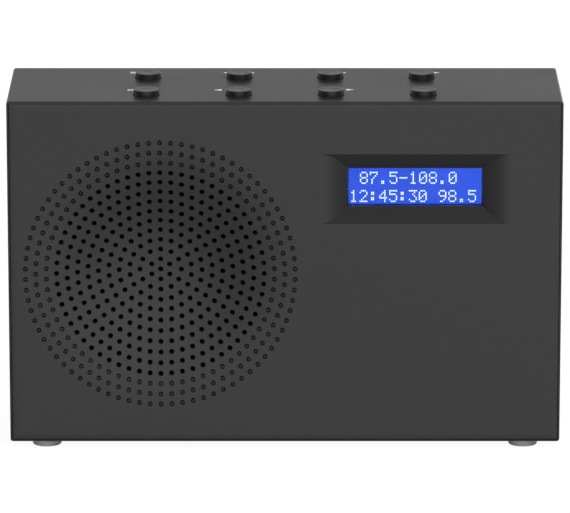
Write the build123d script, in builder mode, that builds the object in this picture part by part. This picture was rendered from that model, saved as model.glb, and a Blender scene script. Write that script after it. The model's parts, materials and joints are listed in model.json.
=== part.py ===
from build123d import *
import math
import os

# Cabinet, in millimetres: x to the right seen from the front, y to the rear, z up
CABINET_W = 230.0
CABINET_H = 145.95
CABINET_D = 65.0
CORNER_R = 1.2
WALL = 2.6
RIM = 0.8
RIM_R = 0.7
SEAM = 0.15
PANEL_T = 2.4
COVER_T = 2.4

# Rubber feet
FOOT_D = 12.1
FOOT_H = 3.35
FOOT_SEAT = 0.8
FOOT_INSET_X = 15.0
FOOT_INSET = 10.1
FOOT_CHAMFER = 0.6

# Speaker grille: a dish that rolls over its lip into a bowl, and rings of six holes more each time
GRILLE_X = -51.8
GRILLE_DROP = 0.525
DISH_R = 59.0
DISH_DEPTH = 9.1
LIP_REACH = 23.2
BOWL_REACH = 27.9
RING_PITCH = 4.317
HOLE_D = 2.2
HOLE_SIDES = 6
OPEN_RINGS = 10
BLIND_RINGS = 3
BLIND_DEPTH = 1.4

# Sunken display frame
DISPLAY_X = 54.1
DISPLAY_RISE = 35.975
FRAME_W = 79.2
FRAME_H = 29.7
FRAME_DEPTH = 5.0
WINDOW_W = 56.4
WINDOW_H = 16.2
WINDOW_DROP = 0.35
SCOOP_R = 19.0
FRAME_PROUD = 1.0
TUB_T = 2.0

# Push buttons on the top
BUTTON_D = 10.6
BUTTON_GAP = 0.35
BUTTON_RISE = 2.4
BUTTON_CHAMFER = 0.5
BUTTON_TRAVEL = 0.8
BUTTON_COLUMNS = (-57.45, -19.1, 19.1, 57.45)
FRONT_ROW = 13.6
BACK_ROW = 19.3
FLANGE_LEDGE = 1.5
FLANGE_T = 1.0
FLANGE_GAP = 0.2
STEM_D = 5.0
STEM_L = 2.2

# Key board and its switches
KEY_DROP = 9.5
BOARD_T = 1.6
KEY_MARGIN_X = 10.5
KEY_MARGIN_Y = 7.0
SWITCH_SIDE = 6.0
SWITCH_H = 3.6
PLUNGER_D = 3.4
PLUNGER_DEPTH = 1.7
PLUNGER_GAP = 0.05
KEY_POST_X = (-38.3, 0.0, 38.3)

# Screws and the posts that take them
SCREW_D = 2.6
SCREW_HEAD_D = 5.0
SCREW_HEAD_H = 1.8
SCREW_L = 6.0
COVER_SCREW_L = 12.0
PILOT_GAP = 0.05
POST_D = 6.4
COVER_POST_INSET_X = 10.5
COVER_POST_INSET_Z = 9.5
HEAD_SEAT = 1.4
HEAD_GAP = 0.2
SUNK_HEAD_H = 1.2

# Speaker, seated on a ring behind the grille
SEAT_DEPTH = 9.0
SEAT_RING_T = 2.4
GASKET_T = 1.0
GASKET_INSET = 1.6
SPEAKER_R = 47.0
BASKET_T = 1.2
FLANGE_W = 10.5
BASKET_DEPTH = 14.6
EAR_OUT = 3.5
EAR_R = 4.2
VENT_W = 8.0
VENT_L = 30.0
SEAT_HOLE_R = 11.5
SURROUND_INSET = 5.5
SURROUND_W = 10.0
PAPER_T = 0.7
CONE_WALL = 0.8
PLEAT_COUNT = 2
PLEAT_W = 2.6
PLEAT_H = 1.8
PLEAT_LIP = 0.5
NECK_R = 10.2
NECK_DEPTH = 10.0
FORMER_T = 0.3
COIL_T = 0.3
COIL_L = 4.0
COIL_START = 14.1
COIL_GAP = 0.35
POLE_R = 9.5
TOP_PLATE_T = 3.4
TOP_PLATE_R = 26.0
MAGNET_R = 27.5
MAGNET_BORE_R = 14.0
MAGNET_T = 9.0
YOKE_T = 4.0
YOKE_CHAMFER = 1.0
SPIDER_R = 25.0
SPIDER_T = 0.4
SPIDER_LIP = 3.0
SPIDER_DEPTH = 11.6
DUST_CAP_RISE = 3.0
DUST_CAP_TOP_R = 5.0

# Display stack behind the window
LENS_MARGIN = 2.0
LENS_T = 1.5
GLASS_T = 2.2
BACKLIGHT_T = 3.0
DISPLAY_MARGIN_X = 8.3
DISPLAY_MARGIN_Z = 5.85
BOARD_EDGE = 4.2

# Main board
MAIN_X = 58.0
MAIN_Z = 56.0
MAIN_W = 94.0
MAIN_H = 74.0
MAIN_DEPTH = 16.0
SHIELD_W = 38.0
SHIELD_H = 28.0
SHIELD_RISE = 6.0
CAPACITOR_D = 10.0
CAPACITOR_L = 16.0
CAPACITOR_PITCH = 13.0

# Jacks on the rear, on a board of their own
JACK_X = -78.0
JACK_Z = 30.0
JACK_PITCH = 16.0
JACK_BOARD_W = 46.0
JACK_BOARD_H = 20.0
JACK_BODY_L = 11.0
JACK_NOSE_D = 8.0
JACK_NOSE_GAP = 0.1
JACK_SIDE = 11.0
PLUG_BORE_D = 3.6
PLUG_BORE_L = 12.5
INLET_BORE_D = 6.2
INLET_BORE_L = 9.5
INLET_PIN_D = 2.1
INLET_PIN_SHORT = 1.0

# Battery bay for four AA cells, lying across the cabinet
CELL_D = 14.5
CELL_GAP = 0.5
CELL_COUNT = 4
BAY_L = 59.0
BAY_SPARE = 1.5
BAY_WALL = 1.6
BAY_X = 54.0
BAY_Z = 63.0
RIB_H = 1.5
RIB_T = 1.0
CELL_RIB_L = 40.0
SPRING_D = 7.0
SPRING_TIP_D = 5.0
SPRING_L = 6.5
CONTACT_T = 0.5
CONTACT_NUB = 1.2
CONTACT_NUB_D = 4.5
CONTACT_SIDE = 9.0
DOOR_T = 2.4
DOOR_LEDGE = 2.5
DOOR_GAP = 0.25
DOOR_SEAT_T = 1.2
PIVOT_D = 1.2
PIVOT_L = 1.6
PIVOT_GAP = 0.06
THUMB_W = 16.0
THUMB_H = 3.0
GRIP_W = 14.0
GRIP_DEPTH = 0.5
GRIP_PITCH = 2.0
GRIP_GROOVE = 1.0
GRIP_COUNT = 3
GRIP_DROP = 6.0

# Telescopic aerial on the rear cover
AERIAL_INSET = 19.0
AERIAL_DROP = 17.0
SWIVEL_D = 11.0
SWIVEL_T = 2.0
SWIVEL_GAP = 0.1
STUB_D = 6.0
STUB_GAP = 0.05
RETAINER_D = 10.0
RETAINER_T = 1.0
KNUCKLE_R = 3.4
EAR_RISE = 4.0
TONGUE_T = 3.0
TONGUE_GAP = 0.1
EAR_T = 1.8
PIN_D = 2.0
PIN_GAP = 0.05
SOCKET_START = 5.6
SOCKET_L = 7.0
SOCKET_FLOOR = 1.0
SECTION_COUNT = 5
SECTION_OUTER_R = 3.0
SECTION_WALL = 0.4
SECTION_GAP = 0.1
SECTION_L = 150.0
SECTION_STEP = 1.0
TIP_R = 2.9
TIP_L = 6.0
TIP_CHAMFER = 0.9
REST_X = -40.0
REST_W = 8.0
REST_TIP_T = 1.25
REST_ROOT_T = 5.0
REST_GAP = 0.3

# Places that follow from the sizes above
AERIAL_PROUD = SWIVEL_GAP + SWIVEL_T + EAR_RISE + KNUCKLE_R
FRONT_Y = -(CABINET_D + AERIAL_PROUD) / 2
REAR_Y = FRONT_Y + CABINET_D
COVER_IN_Y = REAR_Y - COVER_T
BOTTOM_Z = FOOT_H
FOOT_X = CABINET_W / 2 - FOOT_INSET_X
FOOT_YS = (FRONT_Y + FOOT_INSET, REAR_Y - FOOT_INSET)
TOP_Z = FOOT_H + CABINET_H
MID_Z = FOOT_H + CABINET_H / 2
TOP_IN_Z = TOP_Z - WALL
GRILLE_Z = MID_Z - GRILLE_DROP
DISPLAY_Z = MID_Z + DISPLAY_RISE
WINDOW_Z = DISPLAY_Z - WINDOW_DROP
SEAT_Y = FRONT_Y + SEAT_DEPTH
BASKET_Y = SEAT_Y + GASKET_T
MAIN_Y = FRONT_Y + MAIN_DEPTH
KEY_BOARD_Z = TOP_IN_Z - KEY_DROP
SWITCH_TOP_Z = KEY_BOARD_Z + SWITCH_H
KEY_ROW_Y = (FRONT_Y + FRONT_ROW, REAR_Y - BACK_ROW)
KEY_MID_Y = sum(KEY_ROW_Y) / 2
KEY_BOARD_W = BUTTON_COLUMNS[-1] - BUTTON_COLUMNS[0] + 2 * KEY_MARGIN_X
KEY_BOARD_D = KEY_ROW_Y[1] - KEY_ROW_Y[0] + 2 * KEY_MARGIN_Y
FLANGE_D = BUTTON_D + 2 * FLANGE_LEDGE
FLANGE_TOP_Z = TOP_IN_Z - FLANGE_GAP
PLUNGER_TOP_Z = FLANGE_TOP_Z - FLANGE_T - STEM_L
COVER_POST_X = CABINET_W / 2 - COVER_POST_INSET_X
COVER_POST_Z = CABINET_H / 2 - COVER_POST_INSET_Z
AERIAL_X = CABINET_W / 2 - AERIAL_INSET
AERIAL_Z = TOP_Z - AERIAL_DROP
AERIAL_Y = REAR_Y + SWIVEL_GAP + SWIVEL_T + EAR_RISE
CELL_PITCH = CELL_D + CELL_GAP
BAY_H = CELL_COUNT * CELL_PITCH
BAY_DEPTH = CELL_D + BAY_SPARE
DOOR_W = BAY_L + 2 * DOOR_LEDGE - 2 * DOOR_GAP
DOOR_H = BAY_H + 2 * DOOR_LEDGE - 2 * DOOR_GAP
BAY_FRAME_Y = REAR_Y - DOOR_T - DOOR_GAP - DOOR_SEAT_T
BAY_FLOOR_Y = REAR_Y - DOOR_T - BAY_DEPTH
DOOR_PIVOT_Y = REAR_Y - DOOR_T / 2
DOOR_PIVOT_Z = BAY_Z - DOOR_H / 2 + DOOR_T / 2
REST_TOP_Z = AERIAL_Z - SECTION_OUTER_R - REST_GAP
EAR_MID = TONGUE_T / 2 + TONGUE_GAP + EAR_T / 2
LENS_W = WINDOW_W + 2 * LENS_MARGIN
LENS_H = WINDOW_H + 2 * LENS_MARGIN
DISPLAY_BOARD_W = LENS_W + 2 * DISPLAY_MARGIN_X
DISPLAY_BOARD_H = LENS_H + 2 * DISPLAY_MARGIN_Z
SEAT_RING_R = SPEAKER_R - SEAT_RING_T
BASKET_INNER_R = SPEAKER_R - FLANGE_W
EAR_PITCH_R = SPEAKER_R + EAR_OUT
SURROUND_R = SPEAKER_R - SURROUND_INSET
CONE_R = SURROUND_R - SURROUND_W
COIL_R = NECK_R + COIL_T
YOKE_DEPTH = BASKET_DEPTH + TOP_PLATE_T + MAGNET_T
PLEAT_START_R = CONE_R + PLEAT_LIP
JACK_XS = (JACK_X - JACK_PITCH / 2, JACK_X + JACK_PITCH / 2)
LENS_Y = FRONT_Y + FRAME_DEPTH + TUB_T
GLASS_Y = LENS_Y + LENS_T
BACKLIGHT_Y = GLASS_Y + GLASS_T
DISPLAY_BOARD_Y = BACKLIGHT_Y + BACKLIGHT_T
JACK_BOARD_Y = COVER_IN_Y - JACK_BODY_L - BOARD_T


def at_depth(y):
    """Sketch plane at depth y, seen from the front: x to the right, z up."""
    return Plane.XZ.offset(-y)


def radial_plane(x, y, z):
    """Half-section plane of a part that is round about an axis along y."""
    return Plane(origin=(x, y, z))


def dish_curve(offset=0.0):
    """The four handles of the dish's profile, as radius and depth, moved back by a wall thickness."""
    return (
        (DISH_R, offset),
        (DISH_R - LIP_REACH, offset),
        (BOWL_REACH, DISH_DEPTH + offset),
        (0, DISH_DEPTH + offset),
    )


def dish_depth(radius):
    """Depth of the dished face below the flat face at a radius, found by halving along its profile."""
    near, far = 0.0, 1.0
    for _ in range(40):
        t = (near + far) / 2
        rim, lip, bowl, axis = (1 - t) ** 3, 3 * (1 - t) ** 2 * t, 3 * (1 - t) * t**2, t**3
        if rim * DISH_R + lip * (DISH_R - LIP_REACH) + bowl * BOWL_REACH > radius:
            near = t
        else:
            far = t
    return (bowl + axis) * DISH_DEPTH


def dish_back(radius):
    """Depth of the dish's back at a radius, near enough to root a post in the wall."""
    return dish_depth(radius) + PANEL_T / 2


def save(piece, name):
    """Label a finished piece and write its file."""
    piece.part.label = name
    export_step(piece.part, f"parts/{name}.step")


def frame_block(grow, depth):
    """The space of the sunken display frame: sloped above and below, scooped at both ends."""
    half_w = FRAME_W / 2 + grow
    half_h = FRAME_H / 2 + grow
    floor_w = WINDOW_W / 2 + grow
    floor_h = WINDOW_H / 2 + grow
    with BuildPart() as block:
        with BuildSketch(Plane.YZ.offset(DISPLAY_X - half_w)):
            with BuildLine():
                Polyline(
                    (FRONT_Y - FRAME_PROUD, DISPLAY_Z - half_h),
                    (FRONT_Y, DISPLAY_Z - half_h),
                    (FRONT_Y + depth, WINDOW_Z - floor_h),
                    (FRONT_Y + depth, WINDOW_Z + floor_h),
                    (FRONT_Y, DISPLAY_Z + half_h),
                    (FRONT_Y - FRAME_PROUD, DISPLAY_Z + half_h),
                    close=True,
                )
            make_face()
        extrude(amount=2 * half_w)
        with BuildSketch(Plane.XY.offset(DISPLAY_Z - half_h)):
            with BuildLine():
                Line((DISPLAY_X - half_w, FRONT_Y - FRAME_PROUD), (DISPLAY_X + half_w, FRONT_Y - FRAME_PROUD))
                Line((DISPLAY_X + half_w, FRONT_Y - FRAME_PROUD), (DISPLAY_X + half_w, FRONT_Y))
                RadiusArc((DISPLAY_X + half_w, FRONT_Y), (DISPLAY_X + floor_w, FRONT_Y + depth), SCOOP_R)
                Line((DISPLAY_X + floor_w, FRONT_Y + depth), (DISPLAY_X - floor_w, FRONT_Y + depth))
                RadiusArc((DISPLAY_X - floor_w, FRONT_Y + depth), (DISPLAY_X - half_w, FRONT_Y), SCOOP_R)
                Line((DISPLAY_X - half_w, FRONT_Y), (DISPLAY_X - half_w, FRONT_Y - FRAME_PROUD))
            make_face()
        extrude(amount=2 * half_h, mode=Mode.INTERSECT)
    return block.part


def bar(x, z, y, radius, length, mode=Mode.ADD):
    """A round bar, or with the subtract mode a round hole, along y from depth y to the rear."""
    with Locations(Plane(origin=(x, y, z), x_dir=(1, 0, 0), z_dir=(0, 1, 0))):
        Cylinder(radius, length, align=(Align.CENTER, Align.CENTER, Align.MIN), mode=mode)


def post(x, z, start, end, pilot):
    """A screw post along y, from depth start to depth end, with its pilot hole at the end."""
    bar(x, z, start, POST_D / 2, end - start)
    bar(x, z, end - pilot, SCREW_D / 2 + PILOT_GAP, pilot, mode=Mode.SUBTRACT)


def end_plane(cell, side):
    """Plane on the bay's end wall, on a cell's axis, facing the cell."""
    z = BAY_Z + (cell - (CELL_COUNT - 1) / 2) * CELL_PITCH
    return Plane(origin=(BAY_X + side * BAY_L / 2, BAY_FLOOR_Y + CELL_PITCH / 2, z), z_dir=(-side, 0, 0))


def aerial_plane(distance):
    """Plane across the stowed aerial, at a distance from the elbow's pin."""
    return Plane(origin=(AERIAL_X - distance, AERIAL_Y, AERIAL_Z), z_dir=(-1, 0, 0))


def corner_points(x, z, half_w, half_h):
    """The four corners of a rectangle about a point."""
    return [(x + i * half_w, z + j * half_h) for i in (-1, 1) for j in (-1, 1)]


COVER_POSTS = corner_points(0, MID_Z, COVER_POST_X, COVER_POST_Z)
SPEAKER_EARS = corner_points(GRILLE_X, GRILLE_Z, EAR_PITCH_R / math.sqrt(2), EAR_PITCH_R / math.sqrt(2))
DISPLAY_POSTS = corner_points(
    DISPLAY_X, WINDOW_Z, DISPLAY_BOARD_W / 2 - BOARD_EDGE, DISPLAY_BOARD_H / 2 - BOARD_EDGE
)
MAIN_POSTS = corner_points(MAIN_X, MAIN_Z, MAIN_W / 2 - BOARD_EDGE, MAIN_H / 2 - BOARD_EDGE)
BUTTON_NAMES = (
    ("power", "left_arrow", "right_arrow", "select"),
    ("menu", "mode", "preset", "scan"),
)
BUTTONS = [
    (name, x, y) for names, y in zip(BUTTON_NAMES, KEY_ROW_Y) for name, x in zip(names, BUTTON_COLUMNS)
]
CELLS = [(cell, 1 if cell % 2 else -1) for cell in range(CELL_COUNT)]
JACK_POSTS = [(JACK_X + i * (JACK_BOARD_W / 2 - BOARD_EDGE), JACK_Z) for i in (-1, 1)]

os.makedirs("parts", exist_ok=True)

# Cabinet sleeve: top, bottom and sides, with a thin rim round the front panel and the rear cover
with BuildPart() as cabinet_sleeve:
    with BuildSketch(at_depth(FRONT_Y)):
        with Locations((0, MID_Z)):
            RectangleRounded(CABINET_W, CABINET_H, CORNER_R)
            Rectangle(CABINET_W - 2 * WALL, CABINET_H - 2 * WALL, mode=Mode.SUBTRACT)
    extrude(amount=-CABINET_D)
    ends = cabinet_sleeve.faces().filter_by(Axis.Y).sort_by(Axis.Y)
    fillet(ends[0].outer_wire().edges() + ends[-1].outer_wire().edges(), RIM_R)
    for seat_y, seat_depth in ((FRONT_Y, PANEL_T), (COVER_IN_Y, COVER_T)):
        with BuildSketch(at_depth(seat_y)):
            with Locations((0, MID_Z)):
                RectangleRounded(CABINET_W - 2 * RIM, CABINET_H - 2 * RIM, CORNER_R - RIM)
        extrude(amount=-seat_depth, mode=Mode.SUBTRACT)
    with Locations(*[(x, KEY_MID_Y, KEY_BOARD_Z) for x in KEY_POST_X]):
        Cylinder(STEM_D / 2, KEY_DROP, align=(Align.CENTER, Align.CENTER, Align.MIN))
    with Locations(*[(x, KEY_MID_Y, KEY_BOARD_Z) for x in KEY_POST_X]):
        Cylinder(
            SCREW_D / 2 + PILOT_GAP,
            SCREW_L,
            align=(Align.CENTER, Align.CENTER, Align.MIN),
            mode=Mode.SUBTRACT,
        )
    with Locations(*[(x, y, TOP_Z) for x in BUTTON_COLUMNS for y in KEY_ROW_Y]):
        Hole(BUTTON_D / 2 + BUTTON_GAP, depth=WALL)
    with Locations(*[(x, y, BOTTOM_Z) for x in (-FOOT_X, FOOT_X) for y in FOOT_YS]):
        Cylinder(
            FOOT_D / 2,
            FOOT_SEAT,
            align=(Align.CENTER, Align.CENTER, Align.MIN),
            mode=Mode.SUBTRACT,
        )
save(cabinet_sleeve, "cabinet_sleeve")

# Front panel: flat plate, dished grille, sunken display frame, and the posts on its back
with BuildPart() as front_panel:
    with BuildSketch(at_depth(FRONT_Y)):
        with Locations((0, MID_Z)):
            RectangleRounded(
                CABINET_W - 2 * (RIM + SEAM),
                CABINET_H - 2 * (RIM + SEAM),
                CORNER_R - RIM - SEAM,
            )
        with Locations((GRILLE_X, GRILLE_Z)):
            Circle(DISH_R, mode=Mode.SUBTRACT)
    extrude(amount=-PANEL_T)
    with BuildSketch(radial_plane(GRILLE_X, FRONT_Y, GRILLE_Z)):
        with BuildLine():
            front = Bezier(*dish_curve())
            back = Bezier(*dish_curve(PANEL_T))
            Line(front @ 0, back @ 0)
            Line(front @ 1, back @ 1)
        make_face()
    revolve(axis=Axis((GRILLE_X, FRONT_Y, GRILLE_Z), (0, 1, 0)))
    # Speaker seat: a ring and four posts that stand on the dish's back
    with BuildSketch(at_depth(FRONT_Y + dish_back(SEAT_RING_R))):
        with Locations((GRILLE_X, GRILLE_Z)):
            Circle(SEAT_RING_R + SEAT_RING_T)
            Circle(SEAT_RING_R, mode=Mode.SUBTRACT)
    extrude(amount=-(SEAT_DEPTH - dish_back(SEAT_RING_R)))
    for ear in SPEAKER_EARS:
        post(*ear, FRONT_Y + dish_back(EAR_PITCH_R), BASKET_Y, SCREW_L)
    # Posts for the rear cover, the main board and the display board
    for place in COVER_POSTS:
        post(*place, FRONT_Y + PANEL_T / 2, COVER_IN_Y, COVER_SCREW_L)
    for place in MAIN_POSTS:
        post(*place, FRONT_Y + PANEL_T / 2, MAIN_Y, SCREW_L)
    add(frame_block(TUB_T, FRAME_DEPTH + TUB_T), mode=Mode.ADD)
    for place in DISPLAY_POSTS:
        post(*place, FRONT_Y + PANEL_T, DISPLAY_BOARD_Y, SCREW_L)
    split(bisect_by=at_depth(FRONT_Y), keep=Keep.BOTTOM)
    add(frame_block(0, FRAME_DEPTH), mode=Mode.SUBTRACT)
    with BuildSketch(at_depth(FRONT_Y)):
        with Locations((DISPLAY_X, WINDOW_Z)):
            Rectangle(WINDOW_W, WINDOW_H)
    extrude(amount=-(FRAME_DEPTH + 2 * TUB_T), mode=Mode.SUBTRACT)
    # Open holes of the inner rings, then the blind holes of the outer rings
    with BuildSketch(at_depth(FRONT_Y)):
        with Locations((GRILLE_X, GRILLE_Z)):
            RegularPolygon(HOLE_D / 2, HOLE_SIDES)
            for ring in range(1, OPEN_RINGS + 1):
                with PolarLocations(ring * RING_PITCH, 6 * ring, start_angle=90):
                    RegularPolygon(HOLE_D / 2, HOLE_SIDES)
    extrude(amount=-(DISH_DEPTH + 2 * PANEL_T), mode=Mode.SUBTRACT)
    for ring in range(OPEN_RINGS + 1, OPEN_RINGS + BLIND_RINGS + 1):
        with BuildSketch(at_depth(FRONT_Y)):
            with Locations((GRILLE_X, GRILLE_Z)):
                with PolarLocations(ring * RING_PITCH, 6 * ring, start_angle=90):
                    RegularPolygon(HOLE_D / 2, HOLE_SIDES)
        extrude(amount=-(dish_depth(ring * RING_PITCH) + BLIND_DEPTH), mode=Mode.SUBTRACT)
save(front_panel, "front_panel")

# Rear cover: plate in the sleeve's rear rim, with the jack holes, the battery opening and the aerial's seat
with BuildPart() as rear_cover:
    with BuildSketch(at_depth(COVER_IN_Y)):
        with Locations((0, MID_Z)):
            RectangleRounded(
                CABINET_W - 2 * (RIM + SEAM),
                CABINET_H - 2 * (RIM + SEAM),
                CORNER_R - RIM - SEAM,
            )
    extrude(amount=-COVER_T)
    with BuildSketch(at_depth(BAY_FRAME_Y)):
        with Locations((BAY_X, BAY_Z)):
            Rectangle(DOOR_W + 2 * (DOOR_GAP + PIVOT_L + BAY_WALL), DOOR_H + 2 * (DOOR_GAP + BAY_WALL))
    extrude(amount=-(COVER_IN_Y - BAY_FRAME_Y))
    with BuildSketch(at_depth(BAY_FRAME_Y)):
        with Locations((BAY_X, BAY_Z)):
            Rectangle(BAY_L, BAY_H)
    extrude(amount=-(REAR_Y - BAY_FRAME_Y), mode=Mode.SUBTRACT)
    with BuildSketch(at_depth(BAY_FRAME_Y + DOOR_SEAT_T)):
        with Locations((BAY_X, BAY_Z)):
            Rectangle(DOOR_W + 2 * DOOR_GAP, DOOR_H + 2 * DOOR_GAP)
        with Locations((BAY_X, BAY_Z + DOOR_H / 2 + DOOR_GAP)):
            SlotOverall(THUMB_W, 2 * THUMB_H)
    extrude(amount=-(REAR_Y - BAY_FRAME_Y - DOOR_SEAT_T), mode=Mode.SUBTRACT)
    with Locations(Plane(origin=(BAY_X, DOOR_PIVOT_Y, DOOR_PIVOT_Z), x_dir=(0, 1, 0), z_dir=(1, 0, 0))):
        Cylinder(PIVOT_D / 2 + PIVOT_GAP, DOOR_W + 2 * (DOOR_GAP + PIVOT_L), mode=Mode.SUBTRACT)
    for place in JACK_POSTS:
        bar(*place, JACK_BOARD_Y + BOARD_T, POST_D / 2, JACK_BODY_L)
        bar(*place, JACK_BOARD_Y + BOARD_T, SCREW_D / 2 + PILOT_GAP, SCREW_L, mode=Mode.SUBTRACT)
    for jack_x in JACK_XS:
        bar(jack_x, JACK_Z, COVER_IN_Y, JACK_NOSE_D / 2 + JACK_NOSE_GAP, COVER_T, mode=Mode.SUBTRACT)
    for place in COVER_POSTS:
        bar(*place, COVER_IN_Y, SCREW_D / 2 + PILOT_GAP, COVER_T, mode=Mode.SUBTRACT)
        bar(*place, REAR_Y - HEAD_SEAT, SCREW_HEAD_D / 2 + HEAD_GAP, HEAD_SEAT, mode=Mode.SUBTRACT)
    bar(AERIAL_X, AERIAL_Z, COVER_IN_Y, STUB_D / 2 + STUB_GAP, COVER_T, mode=Mode.SUBTRACT)
save(rear_cover, "rear_cover")

# Rest that the stowed aerial lies on, cemented to the rear cover
with BuildPart() as aerial_rest:
    with BuildSketch(Plane.YZ.offset(REST_X - REST_W / 2)):
        with BuildLine():
            Polyline(
                (REAR_Y, REST_TOP_Z),
                (AERIAL_Y + SECTION_OUTER_R, REST_TOP_Z),
                (AERIAL_Y + SECTION_OUTER_R, REST_TOP_Z - REST_TIP_T),
                (REAR_Y, REST_TOP_Z - REST_ROOT_T),
                close=True,
            )
        make_face()
    extrude(amount=REST_W)
save(aerial_rest, "aerial_rest")

# Rubber feet, seated in the sleeve's underside
with BuildPart() as rubber_feet:
    with Locations(*[(x, y, 0) for x in (-FOOT_X, FOOT_X) for y in FOOT_YS]):
        Cylinder(FOOT_D / 2, FOOT_H + FOOT_SEAT, align=(Align.CENTER, Align.CENTER, Align.MIN))
    chamfer(rubber_feet.edges().group_by(Axis.Z)[0], FOOT_CHAMFER)
save(rubber_feet, "rubber_feet")

# Push buttons: cap, flange under the cabinet's top, and stem, each with the plunger that it presses
for name, x, y in BUTTONS:
    with BuildPart() as button:
        with BuildSketch(Plane.XZ.offset(-y)):
            with BuildLine():
                Polyline(
                    (x, PLUNGER_TOP_Z),
                    (x + STEM_D / 2, PLUNGER_TOP_Z),
                    (x + STEM_D / 2, FLANGE_TOP_Z - FLANGE_T),
                    (x + FLANGE_D / 2, FLANGE_TOP_Z - FLANGE_T),
                    (x + FLANGE_D / 2, FLANGE_TOP_Z),
                    (x + BUTTON_D / 2, FLANGE_TOP_Z),
                    (x + BUTTON_D / 2, TOP_Z + BUTTON_RISE),
                    (x, TOP_Z + BUTTON_RISE),
                    close=True,
                )
            make_face()
        revolve(axis=Axis((x, y, 0), (0, 0, 1)))
        chamfer(button.edges().filter_by(GeomType.CIRCLE).sort_by(Axis.Z)[-1], BUTTON_CHAMFER)
    save(button, f"{name}_button")
    with BuildPart() as plunger:
        with Locations((x, y, SWITCH_TOP_Z - PLUNGER_DEPTH)):
            Cylinder(
                PLUNGER_D / 2,
                PLUNGER_TOP_Z - SWITCH_TOP_Z + PLUNGER_DEPTH,
                align=(Align.CENTER, Align.CENTER, Align.MIN),
            )
    save(plunger, f"{name}_plunger")

# Key board on the posts under the top, and its switches
with BuildPart() as key_board:
    with Locations((0, KEY_MID_Y, KEY_BOARD_Z)):
        Box(KEY_BOARD_W, KEY_BOARD_D, BOARD_T, align=(Align.CENTER, Align.CENTER, Align.MAX))
    with Locations(*[(x, KEY_MID_Y, KEY_BOARD_Z) for x in KEY_POST_X]):
        Hole(SCREW_D / 2 + PILOT_GAP, depth=BOARD_T)
save(key_board, "key_board")

with BuildPart() as key_switches:
    with Locations(*[(x, y, KEY_BOARD_Z) for _, x, y in BUTTONS]):
        Box(SWITCH_SIDE, SWITCH_SIDE, SWITCH_H, align=(Align.CENTER, Align.CENTER, Align.MIN))
    with Locations(*[(x, y, SWITCH_TOP_Z) for _, x, y in BUTTONS]):
        Hole(PLUNGER_D / 2 + PLUNGER_GAP, depth=PLUNGER_DEPTH + BUTTON_TRAVEL + PLUNGER_GAP)
save(key_switches, "key_switches")

# Speaker frame: flange with four ears, open cone and the seat for the magnet
with BuildPart() as speaker_basket:
    with BuildSketch(radial_plane(GRILLE_X, BASKET_Y, GRILLE_Z)):
        with BuildLine():
            Polyline(
                (BASKET_INNER_R, 0),
                (SPEAKER_R, 0),
                (SPEAKER_R, BASKET_T),
                (BASKET_INNER_R + BASKET_T, BASKET_T),
                (SPIDER_R + BASKET_T, BASKET_DEPTH),
                (SEAT_HOLE_R, BASKET_DEPTH),
                (SEAT_HOLE_R, BASKET_DEPTH - BASKET_T),
                (SPIDER_R - SPIDER_LIP, BASKET_DEPTH - BASKET_T),
                (SPIDER_R - SPIDER_LIP, SPIDER_DEPTH + SPIDER_T),
                (SPIDER_R + BASKET_T / 2, SPIDER_DEPTH + SPIDER_T),
                close=True,
            )
        make_face()
    revolve(axis=Axis((GRILLE_X, BASKET_Y, GRILLE_Z), (0, 1, 0)))
    with BuildSketch(at_depth(BASKET_Y)):
        with Locations((GRILLE_X, GRILLE_Z)):
            with PolarLocations(EAR_PITCH_R, 4, start_angle=45):
                Circle(EAR_R)
            with PolarLocations(SPEAKER_R - EAR_R / 2, 4, start_angle=45):
                Rectangle(2 * (EAR_PITCH_R - SPEAKER_R + EAR_R / 2), 2 * EAR_R)
            Circle(BASKET_INNER_R + 2 * BASKET_T, mode=Mode.SUBTRACT)
    extrude(amount=-BASKET_T)
    for ear in SPEAKER_EARS:
        bar(*ear, BASKET_Y, SCREW_D / 2 + PILOT_GAP, BASKET_T, mode=Mode.SUBTRACT)
    with BuildSketch(at_depth(BASKET_Y + BASKET_T)):
        with Locations((GRILLE_X, GRILLE_Z)):
            with PolarLocations((BASKET_INNER_R + SPIDER_R) / 2 + BASKET_T, 4):
                Rectangle(VENT_W, VENT_L)
    extrude(amount=-(SPIDER_DEPTH - 2 * BASKET_T), mode=Mode.SUBTRACT)
save(speaker_basket, "speaker_basket")


def speaker_ring(name, inner, outer, start, length):
    """A plain ring of the speaker, about its axis, from a depth behind the flange."""
    with BuildPart() as ring:
        with BuildSketch(at_depth(BASKET_Y + start)):
            with Locations((GRILLE_X, GRILLE_Z)):
                Circle(outer)
                Circle(inner, mode=Mode.SUBTRACT)
        extrude(amount=-length)
    save(ring, name)


speaker_ring("speaker_gasket", SEAT_RING_R - GASKET_INSET, SPEAKER_R, -GASKET_T, GASKET_T)
speaker_ring("speaker_top_plate", COIL_R + COIL_GAP, TOP_PLATE_R, BASKET_DEPTH, TOP_PLATE_T)
speaker_ring("speaker_magnet", MAGNET_BORE_R, MAGNET_R, BASKET_DEPTH + TOP_PLATE_T, MAGNET_T)

# Yoke: rear plate and pole in one
with BuildPart() as speaker_yoke:
    bar(GRILLE_X, GRILLE_Z, BASKET_Y + YOKE_DEPTH, TOP_PLATE_R, YOKE_T)
    bar(GRILLE_X, GRILLE_Z, BASKET_Y + BASKET_DEPTH, POLE_R, YOKE_DEPTH - BASKET_DEPTH)
    chamfer(speaker_yoke.faces().sort_by(Axis.Y)[-1].edges(), YOKE_CHAMFER)
save(speaker_yoke, "speaker_yoke")


def speaker_skin(name, outline):
    """A thin round part of the speaker from its half-section, drawn as radius and depth."""
    with BuildPart() as skin:
        with BuildSketch(radial_plane(GRILLE_X, BASKET_Y, GRILLE_Z)):
            with BuildLine():
                outline()
            make_face()
        revolve(axis=Axis((GRILLE_X, BASKET_Y, GRILLE_Z), (0, 1, 0)))
    save(skin, name)


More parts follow.
